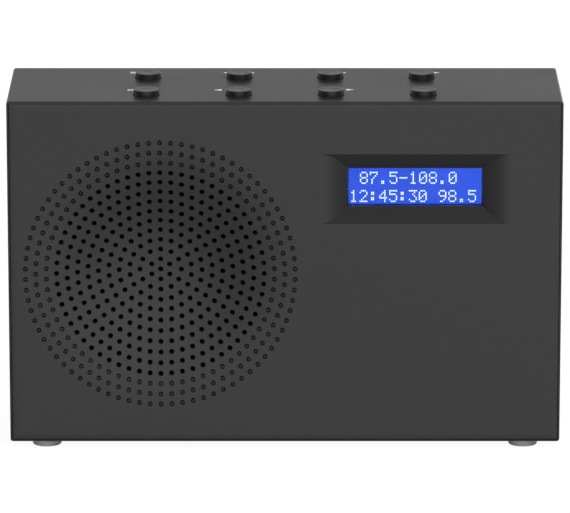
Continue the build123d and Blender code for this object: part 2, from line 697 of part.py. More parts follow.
def cone_outline():
    Polyline(
        (NECK_R, NECK_DEPTH),
        (CONE_R, -PAPER_T),
        (CONE_R, 0),
        (NECK_R, NECK_DEPTH + CONE_WALL),
        close=True,
    )


def surround_outline():
    pleats = [(PLEAT_START_R + i * PLEAT_W / 2, PLEAT_H * (i % 2)) for i in range(2 * PLEAT_COUNT + 1)]
    section = [(CONE_R, 0), *pleats, (SURROUND_R, 0)]
    back = [(radius, -rise) for radius, rise in section]
    front = [(radius, -rise - PAPER_T) for radius, rise in reversed(section)]
    Polyline(*back, *front, close=True)


def spider_outline():
    Polyline(
        (COIL_R, SPIDER_DEPTH),
        (SPIDER_R, SPIDER_DEPTH),
        (SPIDER_R, SPIDER_DEPTH + SPIDER_T),
        (COIL_R, SPIDER_DEPTH + SPIDER_T),
        close=True,
    )


def dust_cap_outline():
    Polyline(
        (0, NECK_DEPTH - DUST_CAP_RISE),
        (DUST_CAP_TOP_R, NECK_DEPTH - DUST_CAP_RISE),
        (NECK_R, NECK_DEPTH),
        (NECK_R, NECK_DEPTH + PAPER_T),
        (DUST_CAP_TOP_R, NECK_DEPTH - DUST_CAP_RISE + PAPER_T),
        (0, NECK_DEPTH - DUST_CAP_RISE + PAPER_T),
        close=True,
    )


def voice_coil_outline():
    Polyline(
        (NECK_R - FORMER_T, NECK_DEPTH + PAPER_T),
        (NECK_R, NECK_DEPTH + PAPER_T),
        (NECK_R, COIL_START),
        (COIL_R, COIL_START),
        (COIL_R, COIL_START + COIL_L),
        (NECK_R - FORMER_T, COIL_START + COIL_L),
        close=True,
    )


speaker_skin("speaker_cone", cone_outline)
speaker_skin("speaker_surround", surround_outline)
speaker_skin("speaker_spider", spider_outline)
speaker_skin("speaker_dust_cap", dust_cap_outline)
speaker_skin("speaker_voice_coil", voice_coil_outline)


def slab(name, x, z, y, width, height, thickness):
    """A flat plate across the cabinet, from depth y to the rear."""
    with BuildPart() as plate:
        with Locations((x, y, z)):
            Box(width, thickness, height, align=(Align.CENTER, Align.MIN, Align.CENTER))
    save(plate, name)


# Display stack: lens against the frame's floor, then glass, backlight and board
slab("display_lens", DISPLAY_X, WINDOW_Z, LENS_Y, LENS_W, LENS_H, LENS_T)
slab("display_glass", DISPLAY_X, WINDOW_Z, GLASS_Y, LENS_W, LENS_H, GLASS_T)
slab("display_backlight", DISPLAY_X, WINDOW_Z, BACKLIGHT_Y, LENS_W, LENS_H, BACKLIGHT_T)


def board(name, x, z, y, width, height, holes):
    """A circuit board across the cabinet with its screw holes."""
    with BuildPart() as plate:
        with Locations((x, y, z)):
            Box(width, BOARD_T, height, align=(Align.CENTER, Align.MIN, Align.CENTER))
        for hole in holes:
            bar(*hole, y, SCREW_D / 2 + PILOT_GAP, BOARD_T, mode=Mode.SUBTRACT)
    save(plate, name)


board("display_board", DISPLAY_X, WINDOW_Z, DISPLAY_BOARD_Y, DISPLAY_BOARD_W, DISPLAY_BOARD_H, DISPLAY_POSTS)
board("main_board", MAIN_X, MAIN_Z, MAIN_Y, MAIN_W, MAIN_H, MAIN_POSTS)
board("jack_board", JACK_X, JACK_Z, JACK_BOARD_Y, JACK_BOARD_W, JACK_BOARD_H, JACK_POSTS)

# What stands on the main board
slab("tuner_shield", MAIN_X, MAIN_Z + SHIELD_H / 2, MAIN_Y + BOARD_T, SHIELD_W, SHIELD_H, SHIELD_RISE)

with BuildPart() as board_capacitors:
    for step in (-1, 0, 1):
        bar(
            MAIN_X + step * CAPACITOR_PITCH,
            MAIN_Z - MAIN_H / 4,
            MAIN_Y + BOARD_T,
            CAPACITOR_D / 2,
            CAPACITOR_L,
        )
save(board_capacitors, "board_capacitors")

# Jacks on the rear: bodies on the jack board, noses in the rear cover's holes
with BuildPart() as headphone_socket:
    with Locations((JACK_XS[0], JACK_BOARD_Y + BOARD_T, JACK_Z)):
        Box(JACK_SIDE, JACK_BODY_L, JACK_SIDE, align=(Align.CENTER, Align.MIN, Align.CENTER))
    bar(JACK_XS[0], JACK_Z, COVER_IN_Y, JACK_NOSE_D / 2, COVER_T)
    bar(JACK_XS[0], JACK_Z, REAR_Y - PLUG_BORE_L, PLUG_BORE_D / 2, PLUG_BORE_L, mode=Mode.SUBTRACT)
save(headphone_socket, "headphone_socket")

with BuildPart() as power_inlet:
    with Locations((JACK_XS[1], JACK_BOARD_Y + BOARD_T, JACK_Z)):
        Box(JACK_SIDE, JACK_BODY_L, JACK_SIDE, align=(Align.CENTER, Align.MIN, Align.CENTER))
    bar(JACK_XS[1], JACK_Z, COVER_IN_Y, JACK_NOSE_D / 2, COVER_T)
    bar(JACK_XS[1], JACK_Z, REAR_Y - INLET_BORE_L, INLET_BORE_D / 2, INLET_BORE_L, mode=Mode.SUBTRACT)
save(power_inlet, "power_inlet")

with BuildPart() as power_inlet_pin:
    bar(JACK_XS[1], JACK_Z, REAR_Y - INLET_BORE_L, INLET_PIN_D / 2, INLET_BORE_L - INLET_PIN_SHORT)
save(power_inlet_pin, "power_inlet_pin")


def screws(name, places, length, head=SCREW_HEAD_H):
    """Screws as separate solids: each place is the plane of a head's seat."""
    with BuildPart() as group:
        with Locations(*places):
            Cylinder(SCREW_HEAD_D / 2, head, align=(Align.CENTER, Align.CENTER, Align.MIN))
            Cylinder(SCREW_D / 2, length, align=(Align.CENTER, Align.CENTER, Align.MAX))
    save(group, name)


def rear_facing(places, y):
    """Seats of screws that are driven from the rear, at depth y."""
    return [Plane(origin=(x, y, z), x_dir=(1, 0, 0), z_dir=(0, 1, 0)) for x, z in places]


def front_facing(places, y):
    """Seats of screws that are driven from the front, at depth y."""
    return [Plane(origin=(x, y, z), x_dir=(1, 0, 0), z_dir=(0, -1, 0)) for x, z in places]


screws("cover_screws", rear_facing(COVER_POSTS, REAR_Y - HEAD_SEAT), COVER_SCREW_L, SUNK_HEAD_H)
screws(
    "inner_screws",
    rear_facing(SPEAKER_EARS, BASKET_Y + BASKET_T)
    + rear_facing(DISPLAY_POSTS, DISPLAY_BOARD_Y + BOARD_T)
    + rear_facing(MAIN_POSTS, MAIN_Y + BOARD_T)
    + front_facing(JACK_POSTS, JACK_BOARD_Y)
    + [Plane(origin=(x, KEY_MID_Y, KEY_BOARD_Z - BOARD_T), z_dir=(0, 0, -1)) for x in KEY_POST_X],
    SCREW_L,
)

# Battery box: tray behind the rear cover's opening, with ribs between the cells
with BuildPart() as battery_box:
    with Locations((BAY_X, BAY_FLOOR_Y - BAY_WALL, BAY_Z)):
        Box(
            BAY_L + 2 * BAY_WALL,
            BAY_FRAME_Y - BAY_FLOOR_Y + BAY_WALL,
            BAY_H + 2 * BAY_WALL,
            align=(Align.CENTER, Align.MIN, Align.CENTER),
        )
    with Locations((BAY_X, BAY_FLOOR_Y, BAY_Z)):
        Box(BAY_L, BAY_DEPTH, BAY_H, align=(Align.CENTER, Align.MIN, Align.CENTER), mode=Mode.SUBTRACT)
    with Locations(*[(BAY_X, BAY_FLOOR_Y, BAY_Z + step * CELL_PITCH) for step in (-1, 0, 1)]):
        Box(CELL_RIB_L, RIB_H, RIB_T, align=(Align.CENTER, Align.MIN, Align.CENTER))
save(battery_box, "battery_box")

# Springs at one end of each cell and contact plates at the other, turned about from cell to cell
with BuildPart() as battery_springs:
    for cell, side in CELLS:
        with Locations(end_plane(cell, side)):
            Cone(
                SPRING_D / 2,
                SPRING_TIP_D / 2,
                SPRING_L,
                align=(Align.CENTER, Align.CENTER, Align.MIN),
            )
save(battery_springs, "battery_springs")

with BuildPart() as battery_contacts:
    for cell, side in CELLS:
        with Locations(end_plane(cell, -side)):
            Box(CONTACT_SIDE, CONTACT_SIDE, CONTACT_T, align=(Align.CENTER, Align.CENTER, Align.MIN))
            Cylinder(
                CONTACT_NUB_D / 2,
                CONTACT_T + CONTACT_NUB,
                align=(Align.CENTER, Align.CENTER, Align.MIN),
            )
save(battery_contacts, "battery_contacts")

# Battery door: plate with a round lower edge, two pivots and a grip at the top
with BuildPart() as battery_door:
    with Locations((BAY_X, REAR_Y - DOOR_T, DOOR_PIVOT_Z)):
        Box(DOOR_W, DOOR_T, DOOR_H - DOOR_T / 2, align=(Align.CENTER, Align.MIN, Align.MIN))
    with Locations(Plane(origin=(BAY_X, DOOR_PIVOT_Y, DOOR_PIVOT_Z), x_dir=(0, 1, 0), z_dir=(1, 0, 0))):
        Cylinder(DOOR_T / 2, DOOR_W)
        Cylinder(PIVOT_D / 2, DOOR_W + 2 * PIVOT_L)
    for groove in range(GRIP_COUNT):
        with Locations((BAY_X, REAR_Y, DOOR_PIVOT_Z + DOOR_H - GRIP_DROP - groove * GRIP_PITCH)):
            Box(GRIP_W, 2 * GRIP_DEPTH, GRIP_GROOVE, mode=Mode.SUBTRACT)
save(battery_door, "battery_door")

# Aerial: base that turns on the rear cover, held by a retainer inside it
with BuildPart() as aerial_base:
    bar(AERIAL_X, AERIAL_Z, REAR_Y + SWIVEL_GAP, SWIVEL_D / 2, SWIVEL_T)
    bar(AERIAL_X, AERIAL_Z, COVER_IN_Y - SWIVEL_GAP, STUB_D / 2, COVER_T + 2 * SWIVEL_GAP)
    for side in (-1, 1):
        with BuildSketch(Plane.XY.offset(AERIAL_Z + side * EAR_MID)):
            with Locations((AERIAL_X, AERIAL_Y)):
                Circle(KNUCKLE_R)
            with Locations((AERIAL_X, AERIAL_Y - EAR_RISE)):
                Rectangle(2 * KNUCKLE_R, EAR_RISE, align=(Align.CENTER, Align.MIN))
            with Locations((AERIAL_X, AERIAL_Y)):
                Circle(PIN_D / 2, mode=Mode.SUBTRACT)
        extrude(amount=EAR_T / 2, both=True)
save(aerial_base, "aerial_base")

with BuildPart() as aerial_retainer:
    bar(AERIAL_X, AERIAL_Z, COVER_IN_Y - SWIVEL_GAP - RETAINER_T, RETAINER_D / 2, RETAINER_T)
    bar(
        AERIAL_X,
        AERIAL_Z,
        COVER_IN_Y - SWIVEL_GAP - RETAINER_T - SCREW_HEAD_H,
        SCREW_HEAD_D / 2,
        SCREW_HEAD_H,
    )
save(aerial_retainer, "aerial_retainer")

with BuildPart() as aerial_elbow_pin:
    with Locations((AERIAL_X, AERIAL_Y, AERIAL_Z)):
        Cylinder(PIN_D / 2, 2 * EAR_MID + EAR_T)
save(aerial_elbow_pin, "aerial_elbow_pin")

# Elbow: tongue between the base's ears, and the socket that holds the first section
with BuildPart() as aerial_elbow:
    with BuildSketch(Plane.XY.offset(AERIAL_Z)):
        with Locations((AERIAL_X, AERIAL_Y)):
            Circle(KNUCKLE_R)
            Rectangle(SOCKET_START + SOCKET_FLOOR, 2 * KNUCKLE_R, align=(Align.MAX, Align.CENTER))
            Circle(PIN_D / 2 + PIN_GAP, mode=Mode.SUBTRACT)
    extrude(amount=TONGUE_T / 2, both=True)
    with Locations(aerial_plane(SOCKET_START)):
        Cylinder(KNUCKLE_R, SOCKET_L, align=(Align.CENTER, Align.CENTER, Align.MIN))
    with Locations(aerial_plane(SOCKET_START + SOCKET_FLOOR)):
        Cylinder(
            SECTION_OUTER_R,
            SOCKET_L,
            align=(Align.CENTER, Align.CENTER, Align.MIN),
            mode=Mode.SUBTRACT,
        )
save(aerial_elbow, "aerial_elbow")

# Aerial sections: tubes that slide in each other, the last a rod with a tip
for index in range(SECTION_COUNT):
    outer = SECTION_OUTER_R - index * (SECTION_WALL + SECTION_GAP)
    start = SOCKET_START + SOCKET_FLOOR + index * SECTION_STEP
    with BuildPart() as section:
        with Locations(aerial_plane(start)):
            Cylinder(outer, SECTION_L, align=(Align.CENTER, Align.CENTER, Align.MIN))
            if index < SECTION_COUNT - 1:
                Cylinder(
                    outer - SECTION_WALL,
                    SECTION_L,
                    align=(Align.CENTER, Align.CENTER, Align.MIN),
                    mode=Mode.SUBTRACT,
                )
        if index == SECTION_COUNT - 1:
            with Locations(aerial_plane(start + SECTION_L)):
                Cylinder(TIP_R, TIP_L, align=(Align.CENTER, Align.CENTER, Align.MIN))
            chamfer(section.faces().sort_by(Axis.X)[0].edges(), TIP_CHAMFER)
    save(section, f"aerial_section_{index + 1}")
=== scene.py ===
import json
import math
from functools import cache

import bmesh
import bpy
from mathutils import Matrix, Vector


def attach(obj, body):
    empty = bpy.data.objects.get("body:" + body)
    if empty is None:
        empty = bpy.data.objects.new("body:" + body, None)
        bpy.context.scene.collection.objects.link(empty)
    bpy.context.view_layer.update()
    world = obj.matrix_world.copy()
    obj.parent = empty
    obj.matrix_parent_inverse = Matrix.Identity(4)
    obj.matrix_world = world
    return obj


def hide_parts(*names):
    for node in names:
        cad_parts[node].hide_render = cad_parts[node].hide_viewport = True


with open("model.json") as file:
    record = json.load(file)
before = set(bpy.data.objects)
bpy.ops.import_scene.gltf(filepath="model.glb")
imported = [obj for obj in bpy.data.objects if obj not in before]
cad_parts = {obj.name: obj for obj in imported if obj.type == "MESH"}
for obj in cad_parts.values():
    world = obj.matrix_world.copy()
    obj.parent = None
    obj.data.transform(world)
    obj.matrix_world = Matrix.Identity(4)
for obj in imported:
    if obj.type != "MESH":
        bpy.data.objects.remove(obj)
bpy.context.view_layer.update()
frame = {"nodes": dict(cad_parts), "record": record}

# Sizes in millimetres, in the same frame as the part's own drawing
MM = 0.001
FRONT_Y, REAR_Y = -37.25, 27.75
BOTTOM_Z, TOP_Z, MID_Z = 3.35, 149.3, 76.325
CABINET_W, CABINET_H, CORNER_R, WALL = 230.0, 145.95, 1.2, 2.6
RIM, RIM_R, RIM_SINK, COVER_IN_Y = 0.8, 0.7, 0.22, 25.35
PANEL_W, PANEL_H, PANEL_T, PANEL_CORNER = 228.1, 144.05, 2.4, 0.25
GRILLE_X, GRILLE_Z, DISH_R = -51.8, 75.8, 59.0
DISPLAY_X, DISPLAY_Z = 54.1, 112.3
WINDOW_W, WINDOW_H, WINDOW_Z = 56.4, 16.2, 111.95
BUTTON_R, BUTTON_RISE, BUTTON_HOLE_R = 5.3, 2.4, 5.65
COLUMNS, ROWS = (-57.45, -19.1, 19.1, 57.45), (-23.65, 8.45)
BUTTON_NAMES = (("power", "left_arrow", "right_arrow", "select"), ("menu", "mode", "preset", "scan"))
FOOT_R, FOOT_X, FOOT_YS, FOOT_SEAT = 6.05, 100.0, (-27.15, 17.65), 0.8

# Node helpers
FLOAT, WHOLE, VECTOR = "NodeSocketFloat", "NodeSocketInt", "NodeSocketVector"
COLOUR, SHAPE, FINISH = "NodeSocketColor", "NodeSocketGeometry", "NodeSocketMaterial"


def fitted(thing, **settings):
    """Set a thing's own settings by name, and hand it back."""
    for name, value in settings.items():
        setattr(thing, name, value)
    return thing


def place(tree, kind, sockets=None, **settings):
    """Add a node, set its own settings, and fill its sockets with values or links."""
    made = fitted(tree.nodes.new(kind), **settings)
    for name, value in (sockets or {}).items():
        if isinstance(value, bpy.types.NodeSocket):
            tree.links.new(value, made.inputs[name])
        else:
            made.inputs[name].default_value = value
    return made


def sums(tree, operation, *values):
    """One step of arithmetic on sockets or numbers."""
    return place(tree, "ShaderNodeMath", dict(enumerate(values)), operation=operation).outputs[0]


def vector(tree, x=0.0, y=0.0, z=0.0):
    """A vector made of sockets or numbers."""
    return place(tree, "ShaderNodeCombineXYZ", {0: x, 1: y, 2: z}).outputs[0]


def axes(tree, whole):
    """The three parts of a vector."""
    return place(tree, "ShaderNodeSeparateXYZ", {0: whole}).outputs


def on_piece(tree):
    """Where a spot lies on its piece."""
    return place(tree, "ShaderNodeTexCoord").outputs["Object"]


def clouds(tree, where, scale, detail=2.0, **sockets):
    """A cloudy pattern between nought and one."""
    sockets.update(Vector=where, Scale=scale, Detail=detail)
    return place(tree, "ShaderNodeTexNoise", sockets).outputs["Fac"]


def ramp(tree, value, start, end, high=1.0, low=0.0, kind="SMOOTHSTEP"):
    """Go from a low level, where the value is at start, to a high one, where it is at end."""
    sockets = {"Value": value, "From Min": start, "From Max": end, "To Min": low, "To Max": high}
    return place(tree, "ShaderNodeMapRange", sockets, interpolation_type=kind).outputs[0]


def blend(tree, share, first, second, kind="MIX"):
    """Two colours laid over each other."""
    sockets = {"Factor": share, 6: first, 7: second}
    return place(tree, "ShaderNodeMix", sockets, data_type="RGBA", blend_type=kind).outputs[2]


def new_group(name, kind, takes, gives):
    """A node group with named inputs and outputs, and its two end nodes."""
    group = bpy.data.node_groups.new(name, kind)
    for label, socket, *start in takes:
        item = group.interface.new_socket(label, in_out="INPUT", socket_type=socket)
        if start:
            item.default_value = start[0]
    for label, socket in gives:
        group.interface.new_socket(label, in_out="OUTPUT", socket_type=socket)
    return group, place(group, "NodeGroupInput").outputs, place(group, "NodeGroupOutput").inputs


def hand_out(group, out, **results):
    """Link results to a group's outputs by name, and hand back the group."""
    for label, socket in results.items():
        group.links.new(socket, out[label])
    return group


def shape_tree(name, floats=(), wholes=(), vectors=()):
    """A Geometry Nodes tree that takes a shape, named sizes and a finish, and gives a shape."""
    takes = [("Geometry", SHAPE)]
    for kind, labels in ((FLOAT, floats), (WHOLE, wholes), (VECTOR, vectors)):
        takes += [(label, kind) for label in labels]
    return new_group(name, "GeometryNodeTree", [*takes, ("Finish", FINISH)], [("Geometry", SHAPE)])


def scatter(tree, points, shape, **sockets):
    """A copy of a shape on every point."""
    sockets.update(Points=points, Instance=shape)
    return place(tree, "GeometryNodeInstanceOnPoints", sockets).outputs[0]


def real(tree, copies):
    """Copies turned into plain mesh."""
    return place(tree, "GeometryNodeRealizeInstances", {"Geometry": copies}).outputs[0]


def moved(tree, shape, by, turn):
    """A shape turned, then moved."""
    sockets = {"Geometry": shape, "Translation": by, "Rotation": turn}
    return place(tree, "GeometryNodeTransform", sockets).outputs[0]


def drill_bit(tree, given, depth, fans=1, kind="NGON"):
    """A cylinder with the tree's own hole radius and sides."""
    sockets = {"Vertices": given["Hole Sides"], "Radius": given["Hole Radius"], "Depth": depth}
    sockets["Fill Segments"] = fans
    return place(tree, "GeometryNodeMeshCylinder", sockets, fill_type=kind).outputs[0]


def cut_away(tree, shape, *cutters):
    """A shape with the cutters taken out of it."""
    cut = place(tree, "GeometryNodeMeshBoolean", {"Mesh 1": shape}, operation="DIFFERENCE", solver="MANIFOLD")
    for cutter in cutters:
        tree.links.new(cutter, cut.inputs["Mesh 2"])
    return cut.outputs["Mesh"]


def close_tree(tree, shape, given, out):
    """End a tree in plain mesh with its finish."""
    sockets = {"Geometry": real(tree, shape), "Material": given["Finish"]}
    return hand_out(tree, out, Geometry=place(tree, "GeometryNodeSetMaterial", sockets).outputs[0])


# Shared surface effects
def moulded_grain_group():
    """Fine spark-eroded grain of a moulding, with a slow drift of tone."""
    group, given, out = new_group(
        "moulded_grain",
        "ShaderNodeTree",
        (
            ("Colour", COLOUR, (0.05, 0.05, 0.05, 1)),
            ("Grain Scale", FLOAT, 2200.0),
            ("Drift Scale", FLOAT, 30.0),
            ("Mottle", FLOAT, 0.1),
            ("Roughness", FLOAT, 0.5),
            ("Rough Spread", FLOAT, 0.08),
        ),
        (("Colour", COLOUR), ("Roughness", FLOAT), ("Height", FLOAT)),
    )
    where = on_piece(group)
    grain = clouds(group, where, given["Grain Scale"], Roughness=0.6)
    drift = clouds(group, where, given["Drift Scale"], 3.0)
    both = sums(group, "SUBTRACT", sums(group, "ADD", grain, drift), 1.0)
    tone = sums(group, "MULTIPLY_ADD", both, given["Mottle"], 1.0)
    rough = sums(group, "MULTIPLY_ADD", both, given["Rough Spread"], given["Roughness"])
    tinted = blend(group, 1.0, given["Colour"], tone, "MULTIPLY")
    return hand_out(group, out, Colour=tinted, Roughness=rough, Height=grain)


def handling_marks_group():
    """Soft smears that fingers leave on a smooth surface, dulled or polished a little."""
    group, given, out = new_group(
        "handling_marks",
        "ShaderNodeTree",
        (("Roughness", FLOAT, 0.3), ("Smear Scale", FLOAT, 60.0), ("Rough Spread", FLOAT, 0.1)),
        (("Roughness", FLOAT),),
    )
    smear = clouds(group, on_piece(group), given["Smear Scale"], 4.0, Distortion=1.4)
    mask = ramp(group, smear, 0.48, 0.68)
    rough = sums(group, "MULTIPLY_ADD", mask, given["Rough Spread"], given["Roughness"])
    return hand_out(group, out, Roughness=rough)


def drawn_lines_group():
    """Fine lines along a metal part, left by drawing, rolling or turning it."""
    group, given, out = new_group(
        "drawn_lines",
        "ShaderNodeTree",
        (
            ("Roughness", FLOAT, 0.3),
            ("Height", FLOAT, 0.5),
            ("Lines Per Metre", VECTOR, (50.0, 3000.0, 3000.0)),
            ("Rough Spread", FLOAT, 0.1),
            ("Depth", FLOAT, 0.5),
        ),
        (("Roughness", FLOAT), ("Height", FLOAT)),
    )
    stretch = {0: on_piece(group), 1: given["Lines Per Metre"]}
    drawn = place(group, "ShaderNodeVectorMath", stretch, operation="MULTIPLY").outputs[0]
    lines = clouds(group, drawn, 1.0, 3.0)
    uneven = sums(group, "SUBTRACT", lines, 0.5)
    rough = sums(group, "MULTIPLY_ADD", uneven, given["Rough Spread"], given["Roughness"])
    height = sums(group, "MULTIPLY_ADD", lines, given["Depth"], given["Height"])
    return hand_out(group, out, Roughness=rough, Height=height)


MOULDED_GRAIN = moulded_grain_group()
HANDLING_MARKS = handling_marks_group()
DRAWN_LINES = drawn_lines_group()
GRAIN_DEPTH = 0.0002


# Finishes
def finish(name, colour, roughness, grain=2200.0, mottle=0.1, spread=0.08, bump=0.1, **sockets):
    """A Principled finish with the shared grain on it; other sockets are set by name."""
    made = bpy.data.materials.new(name)
    made.use_nodes = True
    tree = made.node_tree
    shader = tree.nodes["Principled BSDF"]
    values = {
        "Colour": (*colour, 1),
        "Grain Scale": grain,
        "Mottle": mottle,
        "Roughness": roughness,
        "Rough Spread": spread,
    }
    laid = place(tree, "ShaderNodeGroup", values, node_tree=MOULDED_GRAIN).outputs
    relief = {"Strength": bump, "Distance": GRAIN_DEPTH, "Height": laid["Height"]}
    tree.links.new(laid["Colour"], shader.inputs["Base Color"])
    tree.links.new(laid["Roughness"], shader.inputs["Roughness"])
    tree.links.new(place(tree, "ShaderNodeBump", relief).outputs[0], shader.inputs["Normal"])
    for label, value in sockets.items():
        shader.inputs[label.replace("_", " ")].default_value = value
    return made


def also(slot, effect, **values):
    """Lay one more shared effect over a finish: its roughness, and its height where the effect has one."""
    tree = SLOT_FINISH[slot].node_tree
    shader = tree.nodes["Principled BSDF"]
    layer = place(tree, "ShaderNodeGroup", node_tree=effect)
    for label, value in values.items():
        layer.inputs[label.replace("_", " ")].default_value = value
    takers = [shader.inputs["Roughness"]]
    if "Height" in layer.outputs:
        takers.append(shader.inputs["Normal"].links[0].from_node.inputs["Height"])
    for taker in takers:
        tree.links.new(taker.links[0].from_socket, layer.inputs[taker.name])
        tree.links.new(layer.outputs[taker.name], taker)


def lit(made, colour, strength):
    """Let a finish glow in a colour that varies over the piece."""
    shader = made.node_tree.nodes["Principled BSDF"]
    made.node_tree.links.new(colour, shader.inputs["Emission Color"])
    shader.inputs["Emission Strength"].default_value = strength
    return made


SLOT_FINISH = {
    "cabinet": finish("cabinet_plastic", (0.022, 0.0222, 0.0224), 0.36, Specular_IOR_Level=0.42),
    "button": finish("button_plastic", (0.012, 0.0121, 0.0122), 0.26, Specular_IOR_Level=0.42),
    "foot": finish("foot_rubber", (0.49, 0.49, 0.49), 0.6, grain=1500.0, mottle=0.2),
    "inner_plastic": finish("black_moulding", (0.018, 0.018, 0.019), 0.45),
    "gasket": finish("foam_strip", (0.02, 0.02, 0.02), 0.95, grain=1200.0, mottle=0.5, bump=0.6),
    "board": finish("board_green", (0.015, 0.1, 0.04), 0.3, grain=900.0, mottle=0.25),
    "frame_metal": finish("black_paint", (0.018, 0.018, 0.02), 0.35),
    "steel": finish("zinc_steel", (0.55, 0.55, 0.56), 0.32, grain=1600.0, mottle=0.12, Metallic=1.0),
    "ferrite": finish("ground_ferrite", (0.045, 0.045, 0.047), 0.6, grain=800.0, mottle=0.3),
    "paper": finish("black_paper", (0.01, 0.01, 0.01), 0.9, grain=700.0, mottle=0.5, bump=0.4),
    "copper": finish("bright_copper", (0.75, 0.42, 0.2), 0.3, mottle=0.15, Metallic=1.0),
    "backlight": finish("diffuser_white", (0.8, 0.82, 0.85), 0.5),
    "capacitor": finish("can_sleeve", (0.03, 0.035, 0.06), 0.35),
    "aerial": finish(
        "bright_chrome", (0.75, 0.75, 0.76), 0.12,
        grain=900.0, mottle=0.06, spread=0.05, bump=0.02, Metallic=1.0,
    ),
    "lens": finish(
        "clear_window", (0.95, 0.97, 1.0), 0.03,
        mottle=0.02, spread=0.02, bump=0.005, IOR=1.2, Transmission_Weight=1.0,
    ),
}
white_ink = finish("white_ink", (0.85, 0.85, 0.85), 0.6, grain=1800.0, mottle=0.15)

also("button", HANDLING_MARKS, Smear_Scale=320.0, Rough_Spread=0.1)
also("aerial", HANDLING_MARKS, Smear_Scale=70.0, Rough_Spread=0.14)
also("aerial", DRAWN_LINES, Lines_Per_Metre=(40.0, 2600.0, 2600.0), Rough_Spread=0.12, Depth=0.6)
also("steel", DRAWN_LINES, Lines_Per_Metre=(2400.0, 260.0, 2400.0), Rough_Spread=0.2, Depth=0.8)
also("capacitor", HANDLING_MARKS, Smear_Scale=200.0)
also("lens", HANDLING_MARKS, Smear_Scale=90.0, Rough_Spread=0.03)

# The lit area stops short of the window's sides, where painted shade darkens the blue as the frame's inner
# edge would shade it
LIT_HALF_W, LIT_HALF_H, LIT_FADE = WINDOW_W / 2 - 0.45, WINDOW_H / 2 + 0.1, 0.3
PAINTED_SHADE_BLUE, CELL_LIT = (0.001, 0.002, 0.03, 1), (0.013, 0.074, 0.72, 1)
DOT_DIM, DOT_FULL, DOT_GLOW = (0.62, 0.84, 1.0, 1), (0.8, 0.95, 1.0, 1), 0.84


def display_blue_finish():
    """Lit blue cell: bright in the middle, with painted shade darkening it to a dark border where it meets
    the frame.
    """
    made = finish("display_blue", (0.01, 0.02, 0.08), 0.35, Specular_IOR_Level=0.1)
    tree = made.node_tree
    where = on_piece(tree)
    centring = {"Vector": where, "Location": (-DISPLAY_X * MM, 0, -WINDOW_Z * MM)}
    across, _, up = axes(tree, place(tree, "ShaderNodeMapping", centring).outputs[0])
    level = ramp(tree, clouds(tree, where, 60.0, 1.0), 0.3, 0.7, 1.05, 0.9, "LINEAR")
    for reach, half in ((across, LIT_HALF_W), (up, LIT_HALF_H)):
        away = sums(tree, "ABSOLUTE", reach)
        # Painted shade: the glow fades to the dark blue over LIT_FADE towards each edge of the lit area
        edge = ramp(tree, away, (half - LIT_FADE) * MM, half * MM, 0.0, 1.0, "LINEAR")
        level = sums(tree, "MULTIPLY", level, edge)
    return lit(made, blend(tree, level, PAINTED_SHADE_BLUE, CELL_LIT), 1.0)


def display_dot_finish():
    """Pale lit dot, a little uneven."""
    made = finish("display_dot", (0.5, 0.6, 0.7), 0.4, mottle=0.05)
    tree = made.node_tree
    return lit(made, blend(tree, clouds(tree, on_piece(tree), 900.0), DOT_DIM, DOT_FULL), DOT_GLOW)


SLOT_FINISH["display"] = display_blue_finish()
display_dot = display_dot_finish()

for part in frame["record"]["subparts"]:
    node_object = frame["nodes"][part["node"]]
    node_object.data.materials.clear()
    node_object.data.materials.append(SLOT_FINISH[part["material_slot"]])

# Mesh helpers
JOIN_MM, JOIN_M = 1e-5, 1e-6


def put(name, data):
    """A new object in the scene."""
    made = bpy.data.objects.new(name, data)
    bpy.context.scene.collection.objects.link(made)
    return made


def stand(name, mesh, body, slot, *nodes):
    """Make a mesh a piece of the radio, with a finish if it has none, on its body and for its nodes."""
    piece = put(name, mesh)
    if not mesh.materials:
        mesh.materials.append(SLOT_FINISH[slot])
    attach(piece, body)
    if nodes:
        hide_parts(*nodes)


def smooth(mesh, sharp_deg):
    """Shade a mesh smooth but for its sharp edges."""
    mesh.shade_smooth()
    mesh.set_sharp_from_angle(angle=math.radians(sharp_deg))
    return mesh


def mesh_of(name, shell, sharp_deg=35.0):
    """Close off a bmesh in millimetres: outward faces, metres, smooth but for its sharp edges."""
    bmesh.ops.remove_doubles(shell, verts=shell.verts, dist=JOIN_MM)
    bmesh.ops.recalc_face_normals(shell, faces=shell.faces)
    bmesh.ops.scale(shell, vec=(MM, MM, MM), verts=shell.verts)
    mesh = bpy.data.meshes.new(name)
    shell.to_mesh(mesh)
    shell.free()
    return smooth(mesh, sharp_deg)


def ring_of(shell, points):
    """New vertices in a row."""
    return [shell.verts.new(point) for point in points]


def metres(points):
    """Points in metres, given in millimetres."""
    return [tuple(MM * value for value in point) for point in points]


def bridge(shell, near, far):
    """A wall between two rings of as many points."""
    for here in range(len(near)):
        there = (here + 1) % len(near)
        shell.faces.new((near[here], near[there], far[there], far[here]))


def sweep(shell, rings):
    """Walls from each ring to the next."""
    for near, far in zip(rings, rings[1:]):
        bridge(shell, near, far)


def edges_of(shell, ring):
    """Edges round a ring, made where there are none."""
    edges = []
    for here, there in zip(ring, ring[1:] + ring[:1]):
        edges.append(shell.edges.get((here, there)) or shell.edges.new((here, there)))
    return edges


def arc(radius, first, last, steps, middle=(0.0, 0.0)):
    """Points in even steps along an arc, from its first angle to its last."""
    turns = [first + (last - first) * step / steps for step in range(steps + 1)]
    return [(middle[0] + radius * math.cos(turn), middle[1] + radius * math.sin(turn)) for turn in turns]


def circle(radius, count):
    """Points round a circle about the middle."""
    return arc(radius, 0.0, 2 * math.pi, count)[:-1]


